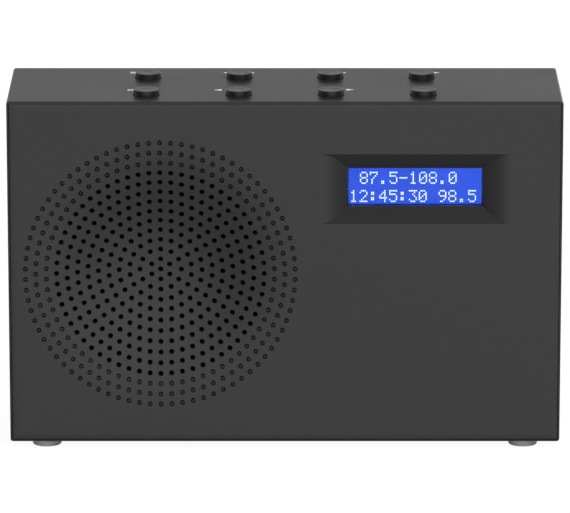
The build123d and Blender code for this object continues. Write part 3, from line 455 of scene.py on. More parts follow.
def lathe(shell, profile, centre, axis, segments):
    """Turn a profile of (radius, height) points about an axis: upright, to the rear, or to the left for X."""
    cx, cy, cz = centre
    rings = []
    for radius, height in profile:
        spots = circle(radius, segments) if radius else [(0.0, 0.0)]
        if axis == "Z":
            rings.append(ring_of(shell, [(cx + u, cy + v, cz + height) for u, v in spots]))
        elif axis == "Y":
            rings.append(ring_of(shell, [(cx + u, cy + height, cz + v) for u, v in spots]))
        else:
            rings.append(ring_of(shell, [(cx - height, cy + u, cz + v) for u, v in spots]))
    for near, far in zip(rings, rings[1:]):
        for s in range(segments):
            corners = [near[s % len(near)], near[(s + 1) % len(near)]]
            corners += [far[(s + 1) % len(far)], far[s % len(far)]]
            distinct = list(dict.fromkeys(corners))
            if len(distinct) > 2:
                shell.faces.new(distinct)


def turned(name, profile, centres, axis="Z", sides=64, sharp_deg=35.0):
    """Mesh of a profile that is turned at each centre."""
    shell = bmesh.new()
    for centre in centres:
        lathe(shell, profile, centre, axis, sides)
    return mesh_of(name, shell, sharp_deg)


def eased(points, radius, steps=4):
    """Round the inner corners of an open profile by a radius."""
    soft = [points[0]]
    for before, corner, after in zip(points, points[1:], points[2:]):
        back = Vector(before) - Vector(corner)
        ahead = Vector(after) - Vector(corner)
        reach = min(radius, back.length / 2, ahead.length / 2)
        start = Vector(corner) + back.normalized() * reach
        end = Vector(corner) + ahead.normalized() * reach
        for step in range(steps + 1):
            t = step / steps
            soft.append(tuple(start * (1 - t) ** 2 + Vector(corner) * 2 * t * (1 - t) + end * t**2))
    return soft + [points[-1]]


def rounded_outline(width, height, radius, steps=6):
    """Points of a rounded rectangle about the middle."""
    points = []
    for corner in range(4):
        mid_x = (width / 2 - radius) * (1 if corner in (0, 3) else -1)
        mid_z = (height / 2 - radius) * (1 if corner in (0, 1) else -1)
        points += arc(radius, math.pi / 2 * corner, math.pi / 2 * (corner + 1), steps, (mid_x, mid_z))
    return points


def plain_mesh(holder):
    """The mesh that an object's modifiers make; the object itself goes."""
    bpy.context.view_layer.update()
    ready = holder.evaluated_get(bpy.context.evaluated_depsgraph_get())
    made = bpy.data.meshes.new_from_object(ready)
    bpy.data.objects.remove(holder)
    return made


def grow(piece_name, mesh, tree, sizes):
    """Run a Geometry Nodes tree on a mesh with named sizes, and hand back the plain mesh that it makes."""
    holder = put(piece_name, mesh)
    modifier = holder.modifiers.new(tree.name, "NODES")
    modifier.node_group = tree
    for item in tree.interface.items_tree:
        if item.in_out == "INPUT" and item.name in sizes:
            modifier[item.identifier] = sizes[item.name]
    grown = plain_mesh(holder)
    grown.name = piece_name
    return grown


def even_normals(mesh, sharp_deg=30.0):
    """Smooth a mesh but for its sharp edges, and keep broad flat faces flat beside their rounded edges."""
    holder = put(mesh.name, smooth(mesh, sharp_deg))
    holder.modifiers.new("even_normals", "WEIGHTED_NORMAL").keep_sharp = True
    return plain_mesh(holder)


# Cabinet sleeve
ROLL_STEPS, CORNER_STEPS, PUNCH_SIDES, PUNCH_PAST = 6, 9, 72, 1.0


def sleeve_shell(marks):
    """Cabinet sleeve, closed: soft corners, rounded ends, seats for panel and cover, and loose marks."""
    roll = [(RIM_R - rise, RIM_R - run) for run, rise in arc(RIM_R, 0.0, math.pi / 2, ROLL_STEPS)]
    section = [
        (RIM, FRONT_Y + PANEL_T),
        (RIM, FRONT_Y + RIM_SINK),
        *[(inset, FRONT_Y + RIM_SINK + back) for inset, back in roll],
        *[(inset, REAR_Y - back) for inset, back in reversed(roll)],
        (RIM, REAR_Y),
        (RIM, COVER_IN_Y),
        (WALL, COVER_IN_Y),
        (WALL, FRONT_Y + PANEL_T),
    ]
    shell = bmesh.new()
    rings = []
    for inset, y in section:
        corner = max(CORNER_R - inset, 0.1)
        outline = rounded_outline(CABINET_W - 2 * inset, CABINET_H - 2 * inset, corner, CORNER_STEPS)
        rings.append(ring_of(shell, [(x, y, MID_Z + z) for x, z in outline]))
    sweep(shell, rings + rings[:1])
    ring_of(shell, marks)
    return shell


def punch_tree():
    """A round hole at each loose mark that is left on a mesh."""
    tree, given, out = shape_tree("punch_holes", ["Hole Radius", "Hole Depth"], ["Hole Sides"])
    faces_round = place(tree, "GeometryNodeInputMeshVertexNeighbors").outputs["Face Count"]
    split = {"Geometry": given["Geometry"], "Selection": sums(tree, "GREATER_THAN", faces_round, 0.5)}
    parted = place(tree, "GeometryNodeSeparateGeometry", split, domain="POINT").outputs
    drill = drill_bit(tree, given, sums(tree, "MULTIPLY", given["Hole Depth"], 2.0))
    drills = scatter(tree, parted["Inverted"], drill)
    return close_tree(tree, cut_away(tree, parted["Selection"], real(tree, drills)), given, out)


def with_marks(mesh, marks):
    """Leave loose points on a mesh, where the next tool is to work."""
    shell = bmesh.new()
    shell.from_mesh(mesh)
    ring_of(shell, metres(marks))
    shell.to_mesh(mesh)
    shell.free()
    return mesh


PUNCH = punch_tree()
button_marks = [(x, y, TOP_Z) for x in COLUMNS for y in ROWS]
foot_marks = [(x, y, BOTTOM_Z) for x in (-FOOT_X, FOOT_X) for y in FOOT_YS]
sleeve = mesh_of("cabinet_shell", sleeve_shell(button_marks))
for marks, radius, depth in (((), BUTTON_HOLE_R, WALL + PUNCH_PAST), (foot_marks, FOOT_R, FOOT_SEAT)):
    hole = {"Hole Radius": radius * MM, "Hole Depth": depth * MM, "Hole Sides": PUNCH_SIDES}
    hole["Finish"] = SLOT_FINISH["cabinet"]
    sleeve = grow("cabinet_shell", with_marks(sleeve, marks), PUNCH, hole)
stand("cabinet_shell", even_normals(sleeve), "cabinet", "cabinet", "cabinet_sleeve")

# Front panel
PILLOW_W, PILLOW_CURVE = 3.1, 0.028
PILLOW_INSETS = (PILLOW_W, 2.6, 2.1, 1.6, 1.1, 0.65, 0.3)
PANEL_EDGE = ((0.09, 0.09), (0.0, 0.3))
DISH_HANDLES = [Vector(handle) for handle in ((59.0, 0.0), (35.8, 0.0), (27.9, 9.1), (0.0, 9.1))]
DISH_SIDES, DISH_FRONT_STEPS, DISH_BACK_STEPS, HALVINGS = 160, 48, 20, 40
FRAME_W, FRAME_H, FRAME_DEPTH, SCOOP_R, SCOOP_STEPS = 79.2, 29.7, 5.0, 19.0, 14
TUB_T, TUB_INSET_X, TUB_INSET_Z = 2.0, 1.5, 0.5
RING_PITCH, HOLE_D, HOLE_SIDES, OPEN_RINGS, BLIND_RINGS = 4.317, 2.2, 16, 10, 3
OPEN_DEPTH, BLIND_DEPTH, RUN_IN, CORE_H, CORE_SHARE = 6.0, 1.4, 2.5, 0.85, 0.4
DRILL_STANDOFF, DRILL_REACH = 10.0, 100.0
FLAT_COS, FLAT_DEPTH, DISH_COS = 0.99999, 0.01, 0.97


def dish_at(t):
    """Radius and depth of the dish's profile, and their rates, at a share of the way from lip to middle."""
    a, b, c, d = DISH_HANDLES
    u = 1 - t
    point = u**3 * a + 3 * u**2 * t * b + 3 * u * t**2 * c + t**3 * d
    rate = 3 * u**2 * (b - a) + 6 * u * t * (c - b) + 3 * t**2 * (d - c)
    return *point, *rate


@cache
def dish_slope(radius):
    """How fast the dish deepens at a radius, found by halving along its profile."""
    near, far = 0.0, 1.0
    for _ in range(HALVINGS):
        t = (near + far) / 2
        if dish_at(t)[0] > radius:
            near = t
        else:
            far = t
    _, _, run, fall = dish_at(t)
    return fall / run


def dish_normal(across, up):
    """True normal of the dish at a place that is measured from the grille's middle."""
    radius = max(math.hypot(across, up), 1e-6)
    slope = dish_slope(min(radius, DISH_R))
    return Vector((slope * across / radius, -1.0, slope * up / radius)).normalized()


def scoop_points():
    """Half width and depth along the rolled ends of the display frame, from the face to the window."""
    chord = Vector((WINDOW_W / 2 - FRAME_W / 2, FRAME_DEPTH))
    middle = Vector((FRAME_W / 2, 0)) + chord / 2
    reach = math.sqrt(SCOOP_R**2 - (chord.length / 2) ** 2)
    side = Vector((chord.y, -chord.x)).normalized()
    centre = middle + side * reach if side.y > 0 else middle - side * reach
    first = math.atan2(-centre.y, FRAME_W / 2 - centre.x)
    last = math.atan2(FRAME_DEPTH - centre.y, WINDOW_W / 2 - centre.x)
    return arc(SCOOP_R, first, last, SCOOP_STEPS, centre)


def front_panel_shell():
    """Panel skin, closed: flat face, rolled dish and display frame in front, and the same set back behind."""
    shell = bmesh.new()

    def outline(inset, depth):
        corner = max(PANEL_CORNER - inset / 2, 0.1)
        points = rounded_outline(PANEL_W - 2 * inset, PANEL_H - 2 * inset, corner)
        return ring_of(shell, [(x, FRONT_Y + depth, MID_Z + z) for x, z in points])

    def rectangle(half_w, half_h, depth, middle=WINDOW_Z):
        corners = ((half_w, half_h), (-half_w, half_h), (-half_w, -half_h), (half_w, -half_h))
        return ring_of(shell, [(DISPLAY_X + x, FRONT_Y + depth, middle + z) for x, z in corners])

    def dish(steps, behind):
        rings = []
        for step in range(steps):
            radius, depth, _, _ = dish_at(step / steps)
            y = FRONT_Y + depth + behind
            spots = circle(radius, DISH_SIDES)
            rings.append(ring_of(shell, [(GRILLE_X + x, y, GRILLE_Z + z) for x, z in spots]))
        sweep(shell, rings)
        shell.faces.new(rings[-1])
        return rings[0]

    pillow = [(inset, PILLOW_CURVE * (PILLOW_W - inset) ** 2) for inset in PILLOW_INSETS]
    fall = pillow[-1][1]
    rounding = [(inset, fall + depth) for inset, depth in PANEL_EDGE]
    edge = [outline(*step) for step in (*pillow, *rounding, (0.0, PANEL_T))]
    frame_rings = []
    for half_w, depth in scoop_points():
        sunk = depth / FRAME_DEPTH
        half_h = FRAME_H / 2 - (FRAME_H - WINDOW_H) / 2 * sunk
        frame_rings.append(rectangle(half_w, half_h, depth, DISPLAY_Z + (WINDOW_Z - DISPLAY_Z) * sunk))
    tub = FRAME_DEPTH + TUB_T
    frame_rings.append(rectangle(WINDOW_W / 2, WINDOW_H / 2, tub))
    frame_rings.append(rectangle(WINDOW_W / 2 + TUB_T, WINDOW_H / 2 + TUB_T, tub))
    frame_rings.append(rectangle(FRAME_W / 2 - TUB_INSET_X, FRAME_H / 2 - TUB_INSET_Z, PANEL_T, DISPLAY_Z))
    sweep(shell, edge)
    sweep(shell, frame_rings)
    front_lip, back_lip = dish(DISH_FRONT_STEPS, 0.0), dish(DISH_BACK_STEPS, PANEL_T)
    for rings in ((edge[0], frame_rings[0], front_lip), (edge[-1], frame_rings[-1], back_lip)):
        rim = [e for ring in rings for e in edges_of(shell, ring)]
        bmesh.ops.triangle_fill(shell, use_beauty=True, edges=rim)
    return shell


def hollow_end(tree, drill, radius, height):
    """Draw in the middle of a drill's far end, so that the hole keeps a low core."""
    x, y, z = axes(tree, place(tree, "GeometryNodeInputPosition").outputs[0])
    reach = place(tree, "ShaderNodeVectorMath", {0: vector(tree, x, y)}, operation="LENGTH").outputs["Value"]
    middle = sums(tree, "LESS_THAN", reach, sums(tree, "MULTIPLY", radius, CORE_SHARE))
    chosen = sums(tree, "MULTIPLY", middle, sums(tree, "LESS_THAN", z, 0.0))
    sockets = {"Geometry": drill, "Selection": chosen, "Offset": vector(tree, z=height)}
    return place(tree, "GeometryNodeSetPosition", sockets).outputs[0]


def ring_points(tree, given):
    """Points in rings of six, twelve and so on about a middle one, and the ring that each is in."""
    rings = sums(tree, "ADD", given["Open Rings"], given["Blind Rings"])
    pairs = sums(tree, "MULTIPLY", rings, sums(tree, "ADD", rings, 1.0))
    count = sums(tree, "MULTIPLY_ADD", pairs, 3.0, 1.0)
    index = place(tree, "GeometryNodeInputIndex").outputs[0]
    # 3r(r - 1) + 1 points lie inside ring r, so a point's number gives its ring
    root = sums(tree, "SQRT", sums(tree, "MAXIMUM", sums(tree, "MULTIPLY_ADD", index, 12.0, -3.0), 0.0))
    ring = sums(tree, "FLOOR", sums(tree, "DIVIDE", sums(tree, "ADD", root, 3.001), 6.0))
    ring = sums(tree, "MULTIPLY", ring, sums(tree, "GREATER_THAN", index, 0.5))
    before = sums(tree, "MULTIPLY", sums(tree, "MULTIPLY", ring, sums(tree, "SUBTRACT", ring, 1.0)), 3.0)
    step = sums(tree, "SUBTRACT", sums(tree, "SUBTRACT", index, before), 1.0)
    share = sums(tree, "DIVIDE", step, sums(tree, "MAXIMUM", sums(tree, "MULTIPLY", ring, 6.0), 1.0))
    turn = sums(tree, "MULTIPLY_ADD", share, 2 * math.pi, math.pi / 2)
    radius = sums(tree, "MULTIPLY", ring, given["Ring Pitch"])
    across = sums(tree, "MULTIPLY", radius, sums(tree, "COSINE", turn))
    up = sums(tree, "MULTIPLY", radius, sums(tree, "SINE", turn))
    laid = {0: vector(tree, across, z=up), 1: given["Middle"]}
    spots = place(tree, "ShaderNodeVectorMath", laid, operation="ADD").outputs[0]
    points = place(tree, "GeometryNodePoints", {"Count": count, "Position": spots}).outputs[0]
    return points, ring


def perforation_tree():
    """Rings of round holes, six more in each, cut square to the face where each ring meets it."""
    tree, given, out = shape_tree(
        "perforate_grille",
        ["Ring Pitch", "Hole Radius", "Open Depth", "Blind Depth", "Run In", "Reach", "Core Height"],
        ["Hole Sides", "Open Rings", "Blind Rings"],
        ["Middle"],
    )
    points, ring = ring_points(tree, given)
    kept = {"Geometry": points, "Name": "ring", "Value": ring}
    named = place(tree, "GeometryNodeStoreNamedAttribute", kept, data_type="FLOAT", domain="POINT").outputs[0]
    ray = {"Target Geometry": given["Geometry"], "Ray Direction": (0, 1, 0), "Ray Length": given["Reach"]}
    hit = place(tree, "GeometryNodeRaycast", ray).outputs["Hit Position"]
    seated = place(tree, "GeometryNodeSetPosition", {"Geometry": named, "Position": hit}).outputs[0]
    own_ring = place(tree, "GeometryNodeInputNamedAttribute", {"Name": "ring"}, data_type="FLOAT").outputs[0]
    limit = {"A": own_ring, "B": given["Open Rings"]}
    is_open = place(tree, "FunctionNodeCompare", limit, data_type="FLOAT", operation="LESS_EQUAL").outputs[0]
    is_blind = place(tree, "FunctionNodeBooleanMath", {0: is_open}, operation="NOT").outputs[0]
    cutters = []
    for chosen, depth, fans in ((is_open, given["Open Depth"], 1), (is_blind, given["Blind Depth"], 3)):
        drill = drill_bit(tree, given, sums(tree, "ADD", depth, given["Run In"]), fans, "TRIANGLE_FAN")
        if chosen == is_blind:
            drill = hollow_end(tree, drill, given["Hole Radius"], given["Core Height"])
        middle = sums(tree, "MULTIPLY", sums(tree, "SUBTRACT", depth, given["Run In"]), 0.5)
        drill = moved(tree, drill, vector(tree, y=middle), (math.pi / 2, 0, 0))
        cutters.append(real(tree, scatter(tree, seated, drill, Selection=chosen)))
    return close_tree(tree, cut_away(tree, given["Geometry"], *cutters), given, out)


def settle_panel_normals(mesh):
    """Give the flat face and the dish their true normals, so the many cut faces shade as one surface."""
    smooth(mesh, 30.0)
    normals = [tuple(n.vector) for n in mesh.corner_normals]
    middle = Vector((GRILLE_X, FRONT_Y, GRILLE_Z))
    for face in mesh.polygons:
        across, depth, up = face.center / MM - middle
        if face.normal.y < -FLAT_COS and depth < FLAT_DEPTH:
            for corner in face.loop_indices:
                normals[corner] = (0.0, -1.0, 0.0)
        elif math.hypot(across, up) < DISH_R and face.normal.dot(dish_normal(across, up)) > DISH_COS:
            for corner in face.loop_indices:
                across, _, up = mesh.vertices[mesh.loops[corner].vertex_index].co / MM - middle
                normals[corner] = tuple(dish_normal(across, up))
    mesh.normals_split_custom_set(normals)


panel_mesh = grow(
    "front_panel_moulding",
    mesh_of("panel_skin", front_panel_shell()),
    perforation_tree(),
    {
        "Middle": (GRILLE_X * MM, (FRONT_Y - DRILL_STANDOFF) * MM, GRILLE_Z * MM),
        "Ring Pitch": RING_PITCH * MM,
        "Hole Radius": HOLE_D / 2 * MM,
        "Hole Sides": HOLE_SIDES,
        "Open Rings": OPEN_RINGS,
        "Blind Rings": BLIND_RINGS,
        "Open Depth": OPEN_DEPTH * MM,
        "Blind Depth": BLIND_DEPTH * MM,
        "Run In": RUN_IN * MM,
        "Reach": DRILL_REACH * MM,
        "Core Height": CORE_H * MM,
        "Finish": SLOT_FINISH["cabinet"],
    },
)
settle_panel_normals(panel_mesh)
stand("front_panel_moulding", panel_mesh, "cabinet", "cabinet", "front_panel")

# Push buttons and feet
BUTTON_TOP, BUTTON_DISH, BUTTON_FLAT_R = TOP_Z + BUTTON_RISE, ((0, 0.16), (1.6, 0.14), (3.0, 0.07)), 4.2
FLANGE_R, FLANGE_TOP, FLANGE_FOOT, STEM_R, STEM_FOOT = 6.8, 146.5, 145.5, 2.5, 143.3
TREAD, FOOT_TOP = ((0, 0.3), (3.6, 0.3), (4.0, 0), (FOOT_R, 0)), BOTTOM_Z + FOOT_SEAT
CAP_FOOT, SOFT_EDGE, FOOT_SIDES = TOP_Z - 1.0, 0.3, 48


def button_profile():
    """Half-section of a button from the middle of its top: dished top, soft edge, cap, flange and stem."""
    dished = [(radius, BUTTON_TOP - sunk) for radius, sunk in BUTTON_DISH]
    cap = [(BUTTON_FLAT_R, BUTTON_TOP), (BUTTON_R, BUTTON_TOP), (BUTTON_R, CAP_FOOT)]
    flange = [(BUTTON_R, FLANGE_TOP), (FLANGE_R, FLANGE_TOP), (FLANGE_R, FLANGE_FOOT), (STEM_R, FLANGE_FOOT)]
    return [*dished, *eased(cap, SOFT_EDGE, 5), *flange, (STEM_R, STEM_FOOT), (0, STEM_FOOT)]


for names, y in zip(BUTTON_NAMES, ROWS):
    for name, x in zip(names, COLUMNS):
        mesh = turned(f"{name}_button_cap", button_profile(), [(x, y, 0)], sharp_deg=40)
        stand(f"{name}_button_cap", mesh, f"{name}_button", "button", f"{name}_button")

foot_profile = eased([*TREAD, (FOOT_R, FOOT_TOP)], SOFT_EDGE) + [(0, FOOT_TOP)]
feet = turned("soft_feet", foot_profile, [(x, y, 0) for x, y, _ in foot_marks], sides=FOOT_SIDES)
stand("soft_feet", feet, "cabinet", "foot", "rubber_feet")

# Printed marks
INK_LOW, INK_HIGH = -0.02, 0.03
FRONT_MARK_Y, REAR_MARK_Y = -14.9, 18.1


def ink(shell, outline):
    """A film of ink on the top, with a closed outline."""
    low, high = (ring_of(shell, [(x, y, TOP_Z + z) for x, y in outline]) for z in (INK_LOW, INK_HIGH))
    bridge(shell, low, high)
    shell.faces.new(low)
    shell.faces.new(high)


def bar(x0, x1, y, half):
    """Upright or level bar."""
    return [(x0, y - half), (x1, y - half), (x1, y + half), (x0, y + half)]


def arrow(tip, root, y, half):
    """Arrow head from its tip to its root."""
    return [(tip, y), (root, y - half), (root, y + half)]


def spot(x, y, radius, sides=16):
    """Dot, or a lozenge where it has four sides."""
    return [(x + u, y + v) for u, v in circle(radius, sides)]


def open_ring(x, y, outer, inner, gap_deg, steps=28):
    """Ring with a gap at its rear."""
    first, last = math.radians(90 + gap_deg / 2), math.radians(450 - gap_deg / 2)
    return arc(outer, first, last, steps, (x, y)) + arc(inner, last, first, steps, (x, y))


MARKS = (
    open_ring(-64.3, FRONT_MARK_Y, 1.3, 0.7, 70),
    bar(-64.5, -64.1, FRONT_MARK_Y + 0.9, 0.6),
    arrow(-29.7, -26.3, FRONT_MARK_Y, 1.5),
    arrow(28.8, 25.6, FRONT_MARK_Y + 0.5, 1.5),
    spot(57.45, FRONT_MARK_Y + 0.4, 1.2, 4),
    *[bar(-65.2, -62.0, REAR_MARK_Y + row, 0.3) for row in (-1.1, 0, 1.1)],
    *[spot(x, REAR_MARK_Y, 0.75) for x in (-25.0, -13.6)],
    *[spot(x, REAR_MARK_Y, 0.65) for x in (20.3, 22.8, 25.2)],
    *[arrow(tip, tip - 2.4, REAR_MARK_Y, 1.3) for tip in (62.7, 65.3)],
)
shell = bmesh.new()
for outline in MARKS:
    ink(shell, outline)
marks_mesh = mesh_of("printed_marks", shell)
marks_mesh.materials.append(white_ink)
stand("printed_marks", marks_mesh, "cabinet", "backlight")

# Cover screws
SCREW_SEAT_Y, SCREW_SPAN_X, SCREW_SPAN_Z, SCREW_SIDES, SCREW_TURN = 26.35, 209.0, 126.95, 32, 0.55
SCREW_HEAD = [(0, 1.2), (1.1, 1.16), (1.9, 0.98), (2.35, 0.62), (2.5, 0.2), (2.5, 0)]
SCREW_SHANK = [(1.3, 0), (1.3, -11), (0, -12)]
BLADE_L, BLADE_DEPTH, BLADE_T, BLADE_Y = 3.0, 1.6, 0.6, 1.2


def screw_tree():
    """Screws at the corners of a rectangle, with a cross cut into each head."""
    places = ["Middle", "Blade", "Blade Place"]
    tree, given, out = shape_tree("cross_head_screws", ["Span X", "Span Z", "Turn"], vectors=places)
    blade = place(tree, "GeometryNodeMeshCube", {"Size": given["Blade"]}).outputs[0]
    blades = [moved(tree, blade, given["Blade Place"], (0, turn, 0)) for turn in (0.0, math.pi / 2)]
    span = {"Size X": given["Span X"], "Size Y": given["Span Z"], "Vertices X": 2, "Vertices Y": 2}
    corners = place(tree, "GeometryNodeMeshGrid", span).outputs[0]
    raised = moved(tree, corners, given["Middle"], (math.pi / 2, 0, 0))
    index = place(tree, "GeometryNodeInputIndex").outputs[0]
    turn = vector(tree, y=sums(tree, "MULTIPLY", index, given["Turn"]))
    screws = scatter(tree, raised, cut_away(tree, given["Geometry"], *blades), Rotation=turn)
    return close_tree(tree, screws, given, out)


screws = grow(
    "cross_head_screws",
    turned("screw_blank", SCREW_HEAD + SCREW_SHANK, [(0, 0, 0)], "Y", SCREW_SIDES),
    screw_tree(),
    {
        "Middle": (0, SCREW_SEAT_Y * MM, MID_Z * MM),
        "Span X": SCREW_SPAN_X * MM,
        "Span Z": SCREW_SPAN_Z * MM,
        "Blade": (BLADE_L * MM, BLADE_DEPTH * MM, BLADE_T * MM),
        "Blade Place": (0, BLADE_Y * MM, 0),
        "Turn": SCREW_TURN,
        "Finish": SLOT_FINISH["steel"],
    },
)
stand("cross_head_screws", even_normals(screws, 40), "cabinet", "steel", "cover_screws")

# Battery springs
BAY_X, BAY_Z, BAY_HALF, CELL_PITCH, CELL_Y, CELL_COUNT = 54.0, 63.0, 29.5, 15.0, 16.85, 4
SPRING_L, SPRING_ROOT_R, SPRING_TIP_R, SPRING_TURNS = 6.5, 3.5, 2.5, 5.5
WIRE_R, WIRE_SIDES, TURN_STEPS = 0.35, 10, 24


def spring_tree():
    """A tapering coil on each seed point, wound towards the middle of the bay."""
    sizes = ["Bay Middle", "Length", "Root Radius", "Tip Radius", "Turns", "Wire Radius"]
    tree, given, out = shape_tree("coil_springs", sizes)
    winding = {
        "Resolution": TURN_STEPS,
        "Rotations": given["Turns"],
        "Start Radius": given["Root Radius"],
        "End Radius": given["Tip Radius"],
        "Height": given["Length"],
    }
    line = place(tree, "GeometryNodeCurveSpiral", winding).outputs[0]
    thickness = {"Resolution": WIRE_SIDES, "Radius": given["Wire Radius"]}
    wire = place(tree, "GeometryNodeCurvePrimitiveCircle", thickness).outputs[0]
    drawn = {"Curve": line, "Profile Curve": wire, "Fill Caps": True}
    coil = place(tree, "GeometryNodeCurveToMesh", drawn).outputs[0]
    here, _, _ = axes(tree, place(tree, "GeometryNodeInputPosition").outputs[0])
    on_right = sums(tree, "GREATER_THAN", here, given["Bay Middle"])
    turn = sums(tree, "MULTIPLY", sums(tree, "SUBTRACT", 0.5, on_right), math.pi)
    return close_tree(tree, scatter(tree, given["Geometry"], coil, Rotation=vector(tree, y=turn)), given, out)


def seed_mesh(name, spots):
    """A mesh of loose points, given in millimetres."""
    seed = bpy.data.meshes.new(name)
    seed.from_pydata(metres(spots), [], [])
    return seed


spring_roots = []
for cell in range(CELL_COUNT):
    end = BAY_HALF - WIRE_R
    height = BAY_Z + (cell - (CELL_COUNT - 1) / 2) * CELL_PITCH
    spring_roots.append((BAY_X + (end if cell % 2 else -end), CELL_Y, height))
springs = grow(
    "coil_springs",
    seed_mesh("spring_seed", spring_roots),
    spring_tree(),
    {
        "Bay Middle": BAY_X * MM,
        "Length": (SPRING_L - 2 * WIRE_R) * MM,
        "Root Radius": (SPRING_ROOT_R - WIRE_R) * MM,
        "Tip Radius": (SPRING_TIP_R - WIRE_R) * MM,
        "Turns": SPRING_TURNS,
        "Wire Radius": WIRE_R * MM,
        "Finish": SLOT_FINISH["steel"],
    },
)
springs.shade_smooth()
stand("coil_springs", springs, "cabinet", "steel", "battery_springs")

# Moulded and turned pieces on the rear
# Each row: node, piece, body, slot, width of its rounded edges, and whether only rear edges are rounded
SOFT_PIECES = (
    ("rear_cover", "rear_cover_moulding", "cabinet", "cabinet", 0.25, True),
    ("battery_door", "battery_door_moulding", "battery_door", "cabinet", 0.25, True),
    ("aerial_rest", "aerial_rest_moulding", "cabinet", "cabinet", 0.3, False),
    ("headphone_socket", "headphone_socket_nose", "cabinet", "inner_plastic", 0.25, True),
    ("power_inlet", "power_inlet_nose", "cabinet", "inner_plastic", 0.25, True),
    ("power_inlet_pin", "power_inlet_turned_pin", "cabinet", "copper", 0.35, False),
    ("battery_box", "battery_box_moulding", "cabinet", "inner_plastic", 0.2, False),
    ("battery_contacts", "pressed_contacts", "cabinet", "steel", 0.12, False),
    ("aerial_base", "aerial_base_casting", "aerial_base", "aerial", 0.25, False),
    ("aerial_elbow", "aerial_elbow_casting", "aerial_elbow", "aerial", 0.2, False),
)
KEEN_DEG, FLAT_DEG, EDGE_STEPS = 40.0, 1.0, 3


def softened(node, width, rear_only):
    """Copy of a node's mesh, its triangles joined and its keen edges rounded, or those on the rear alone."""
    shell = bmesh.new()
    shell.from_mesh(frame["nodes"][node].data)
    bmesh.ops.remove_doubles(shell, verts=shell.verts, dist=JOIN_M)
    bmesh.ops.dissolve_limit(shell, angle_limit=math.radians(FLAT_DEG), verts=shell.verts, edges=shell.edges)
    keen = [edge for edge in shell.edges if edge.calc_face_angle(0.0) > math.radians(KEEN_DEG)]
    if rear_only:
        keen = [edge for edge in keen if min(end.co.y for end in edge.verts) > REAR_Y * MM - JOIN_M]
    rounding = {"offset": width * MM, "segments": EDGE_STEPS, "profile": 0.5, "affect": "EDGES"}
    bmesh.ops.bevel(shell, geom=keen, clamp_overlap=True, **rounding)
    mesh = bpy.data.meshes.new(node)
    shell.to_mesh(mesh)
    shell.free()
    return even_normals(mesh, KEEN_DEG)


for node, name, body, slot, width, rear_only in SOFT_PIECES:
    stand(name, softened(node, width, rear_only), body, slot, node)

# Telescopic aerial
AERIAL_X, AERIAL_Y, AERIAL_Z = 96.0, 33.85, 132.3
SECTION_START, SECTION_L, SECTION_STEP = 6.6, 150.0, 1.0
SECTION_R, SECTION_THIN, SECTION_WALL, SECTION_COUNT, SECTION_SIDES = 3.0, 0.5, 0.4, 5, 48
TIP_R, TIP_L, TIP_ROUND = 2.9, 6.0, 0.9
ROLLED_END = ((0.0, 1.4), (0.1, 0.75), (0.26, 0.2))


def tube_section(outer):
    """Closed section of a drawn tube, with its far end rolled in."""
    inner = outer - SECTION_WALL
    rolled = [(outer - shrink, SECTION_L - back) for shrink, back in ROLLED_END]
    return [(inner, 0), (outer, 0), *rolled, (inner, SECTION_L), (inner, 0)]


def rod_section(outer):
    """Half-section of the last section: a rod with a rounded tip."""
    tip = [(outer, SECTION_L), (TIP_R, SECTION_L), (TIP_R, SECTION_L + TIP_L), (0, SECTION_L + TIP_L)]
    return [(0, 0), (outer, 0), *eased(tip, TIP_ROUND, 6)]


for index in range(SECTION_COUNT):
    outer = SECTION_R - index * SECTION_THIN
    profile = rod_section(outer) if index == SECTION_COUNT - 1 else tube_section(outer)
    root_x = AERIAL_X - SECTION_START - index * SECTION_STEP
    node = f"aerial_section_{index + 1}"
    mesh = turned(node, profile, [(root_x, AERIAL_Y, AERIAL_Z)], "X", SECTION_SIDES)
    stand(f"drawn_tube_{index + 1}", mesh, node if index else "aerial_elbow", "aerial", node)

# Display
DIGITS = {
    "0": (".###.", "#...#", "#..##", "#.#.#", "##..#", "#...#", ".###."),
    "1": ("..#..", ".##..", "..#..", "..#..", "..#..", "..#..", ".###."),
    "2": (".###.", "#...#", "....#", "...#.", "..#..", ".#...", "#####"),
    "3": ("#####", "...#.", "..#..", "...#.", "....#", "#...#", ".###."),
    "4": ("...#.", "..##.", ".#.#.", "#..#.", "#####", "...#.", "...#."),
    "5": ("#####", "#....", "####.", "....#", "....#", "#...#", ".###."),
    "7": ("#####", "#...#", "...#.", "..#..", ".#...", ".#...", ".#..."),
    "8": (".###.", "#...#", "#...#", ".###.", "#...#", "#...#", ".###."),
    "9": (".###.", "#...#", "#...#", ".####", "....#", "...#.", ".##.."),
    ".": (".....", ".....", ".....", ".....", ".....", ".##..", ".##.."),
    "-": (".....", ".....", ".....", "#####", ".....", ".....", "....."),
    ":": (".....", ".##..", ".##..", ".....", ".##..", ".##..", "....."),
    " ": (".....",) * 7,
}
# Each line, and the place of its first dot from the window's upper left corner
LINES = (("87.5-108.0", 5.5, 2.65), ("12:45:30 98.5", 1.3, 10.45))
DOT_PITCH_X, DOT_PITCH_Z, GLYPH_PITCH = 0.685, 0.755, 4.1
DOT_W, DOT_T, DOT_H, DOT_SINK = 0.5, 0.04, 0.59, 0.03
LENS_Y, LENS_T, LENS_MARGIN, LENS_EDGE, LENS_CORNER, GLASS_Y = -30.25, 1.2, 2.0, 0.15, 0.5, -28.75


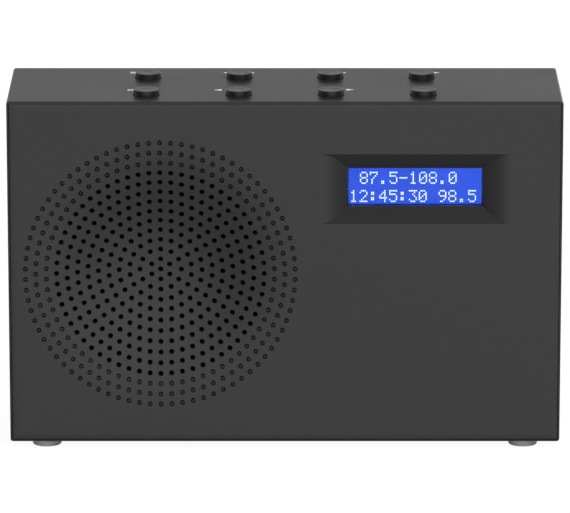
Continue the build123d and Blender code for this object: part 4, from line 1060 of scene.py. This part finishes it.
def dot_points():
    """Middles of the lit dots of the two lines of plain numbers."""
    left, top = DISPLAY_X - WINDOW_W / 2, WINDOW_Z + WINDOW_H / 2
    spots = []
    for text, start_x, start_z in LINES:
        for order, glyph in enumerate(text):
            for row, pattern in enumerate(DIGITS[glyph]):
                for column, mark in enumerate(pattern):
                    if mark == "#":
                        x = left + start_x + order * GLYPH_PITCH + column * DOT_PITCH_X
                        spots.append((x, GLASS_Y - DOT_SINK, top - start_z - row * DOT_PITCH_Z))
    return spots


def dot_tree():
    """A small raised tile on every point."""
    tree, given, out = shape_tree("light_dots", vectors=["Dot Size"])
    tile = place(tree, "GeometryNodeMeshCube", {"Size": given["Dot Size"]}).outputs[0]
    return close_tree(tree, scatter(tree, given["Geometry"], tile), given, out)


dot_size = {"Dot Size": (DOT_W * MM, DOT_T * MM, DOT_H * MM), "Finish": display_dot}
dots = grow("display_dots", seed_mesh("dot_seed", dot_points()), dot_tree(), dot_size)
stand("display_dots", dots, "cabinet", "display")

shell = bmesh.new()
lens_rings = []
for inset, depth in ((LENS_EDGE, 0.0), (0.0, LENS_EDGE), (0.0, LENS_T - LENS_EDGE), (LENS_EDGE, LENS_T)):
    past = 2 * (LENS_MARGIN - inset)
    outline = rounded_outline(WINDOW_W + past, WINDOW_H + past, LENS_CORNER)
    lens_rings.append(ring_of(shell, [(DISPLAY_X + x, LENS_Y + depth, WINDOW_Z + z) for x, z in outline]))
sweep(shell, lens_rings)
shell.faces.new(lens_rings[0])
shell.faces.new(lens_rings[-1])
stand("display_window", mesh_of("display_window", shell), "cabinet", "lens", "display_lens")

# Camera and lamp
CAMERA_PLACE, CAMERA_TILT_DEG, LENS_MM, SENSOR_MM = (0.00004, -2.21355, 0.64764), 75.468, 342.0, 36.0
KEY_PLACE, KEY_AIM, KEY_SIZE, KEY_WATTS = (1.11, -1.63, 1.62), (0, 0, 0.08), 0.8, 34.0
camera_sizes = {"lens": LENS_MM, "sensor_width": SENSOR_MM, "sensor_fit": "HORIZONTAL", "clip_end": 100.0}
camera = put("camera", fitted(bpy.data.cameras.new("camera"), **camera_sizes))
camera.location = CAMERA_PLACE
camera.rotation_euler = (math.radians(CAMERA_TILT_DEG), 0, 0)
bpy.context.scene.camera = camera
bpy.context.scene.view_settings.view_transform = "Standard"

key_lamp = fitted(bpy.data.lights.new("key", "AREA"), shape="SQUARE", size=KEY_SIZE, energy=KEY_WATTS)
key = put("key", key_lamp)
key.location = KEY_PLACE
key.rotation_euler = (Vector(KEY_AIM) - Vector(KEY_PLACE)).to_track_quat("-Z", "Y").to_euler()
key.visible_glossy = False


# Studio
def shown_to(tree, *rays):
    """One where any of the named kinds of ray looks, and nought elsewhere."""
    path = place(tree, "ShaderNodeLightPath").outputs
    seen = path[f"Is {rays[0]} Ray"]
    for ray in rays[1:]:
        seen = sums(tree, "MAXIMUM", seen, path[f"Is {ray} Ray"])
    return seen


def either(tree, share, first, second):
    """One shader where the share is nought, and the other where it is one."""
    return place(tree, "ShaderNodeMixShader", {0: share, 1: first, 2: second}).outputs[0]


def plain_light(tree, strength):
    """White light of a level."""
    return place(tree, "ShaderNodeBackground", {"Color": (1, 1, 1, 1), "Strength": strength}).outputs[0]


# What the radio reflects: soft boxes, and to the rear a pale wall above the horizon and pale floor below it
ROOM_LEVEL, AMBIENT, WALL_LEVEL, FLOOR_LEVEL = 0.22, 0.62, 0.37, 0.75
# Each box: its direction, the cosines of its outer and inner reach, and its brightness
SOFT_BOXES = (
    ((0.139, -0.985, 0.104), 0.68, 0.94, 0.88),
    ((0.12, -0.92, 0.37), 0.86, 0.99, 0.16),
    ((0.0, -0.66, -0.75), 0.85, 0.98, 0.12),
    ((0.22, 0.96, -0.17), 0.955, 0.99, 1.2),
    ((-0.93, 0.33, 0.12), 0.8, 0.93, 0.75),
    ((0.93, 0.33, 0.12), 0.8, 0.93, 0.75),
)
WALL_BACK, WALL_FOOT, WALL_HEAD = (0.1, 0.5), (-0.06, 0.06), (0.6, 0.4)
FLOOR_BACK, FLOOR_EDGE = (0.35, 0.75), (0.02, -0.12)
world = bpy.data.worlds.new("studio")
bpy.context.scene.world = world
world.use_nodes = True
tree = world.node_tree
tree.nodes.clear()
towards = place(tree, "ShaderNodeTexCoord").outputs["Generated"]
_, back, up = axes(tree, towards)
wall = sums(tree, "MULTIPLY", ramp(tree, up, *WALL_FOOT), ramp(tree, up, *WALL_HEAD))
wall = sums(tree, "MULTIPLY", wall, ramp(tree, back, *WALL_BACK, WALL_LEVEL))
pale = sums(tree, "MULTIPLY", ramp(tree, up, *FLOOR_EDGE), ramp(tree, back, *FLOOR_BACK, FLOOR_LEVEL))
level = sums(tree, "ADD", sums(tree, "ADD", wall, pale), ROOM_LEVEL)
for aim, outer, inner, brightness in SOFT_BOXES:
    near = place(tree, "ShaderNodeVectorMath", {0: towards, 1: aim}, operation="DOT_PRODUCT").outputs["Value"]
    level = sums(tree, "ADD", ramp(tree, near, outer, inner, brightness), level)
lighting = either(tree, shown_to(tree, "Glossy"), plain_light(tree, AMBIENT), plain_light(tree, level))
backdrop = either(tree, shown_to(tree, "Camera", "Transmission"), lighting, plain_light(tree, 1.0))
place(tree, "ShaderNodeOutputWorld", {"Surface": backdrop})

# Floor: white to the camera but for the shadow, and plain paper to the light
FLOOR_HALF, PAPER, SHADOW_TINT, FLOOR_GLOW = 6.0, 0.8, 0.1, 0.94
floor_finish = bpy.data.materials.new("studio_floor")
floor_finish.use_nodes = True
tree = floor_finish.node_tree
tree.nodes.clear()
greys = [(grey, grey, grey, 1) for grey in (PAPER, SHADOW_TINT)]
paper, tint = (place(tree, "ShaderNodeBsdfDiffuse", {"Color": grey}).outputs[0] for grey in greys)
glow = place(tree, "ShaderNodeEmission", {"Color": (1, 1, 1, 1), "Strength": FLOOR_GLOW}).outputs[0]
bright = place(tree, "ShaderNodeAddShader", {0: tint, 1: glow}).outputs[0]
mixed = either(tree, shown_to(tree, "Camera", "Transmission"), paper, bright)
place(tree, "ShaderNodeOutputMaterial", {"Surface": mixed})
floor_mesh = bpy.data.meshes.new("studio_floor")
floor_corners = [(FLOOR_HALF * x, FLOOR_HALF * y, 0) for x, y in ((-1, -1), (1, -1), (1, 1), (-1, 1))]
floor_mesh.from_pydata(floor_corners, [], [(0, 1, 2, 3)])
floor_mesh.materials.append(floor_finish)
floor = put("studio_floor", floor_mesh)
floor.visible_glossy = False
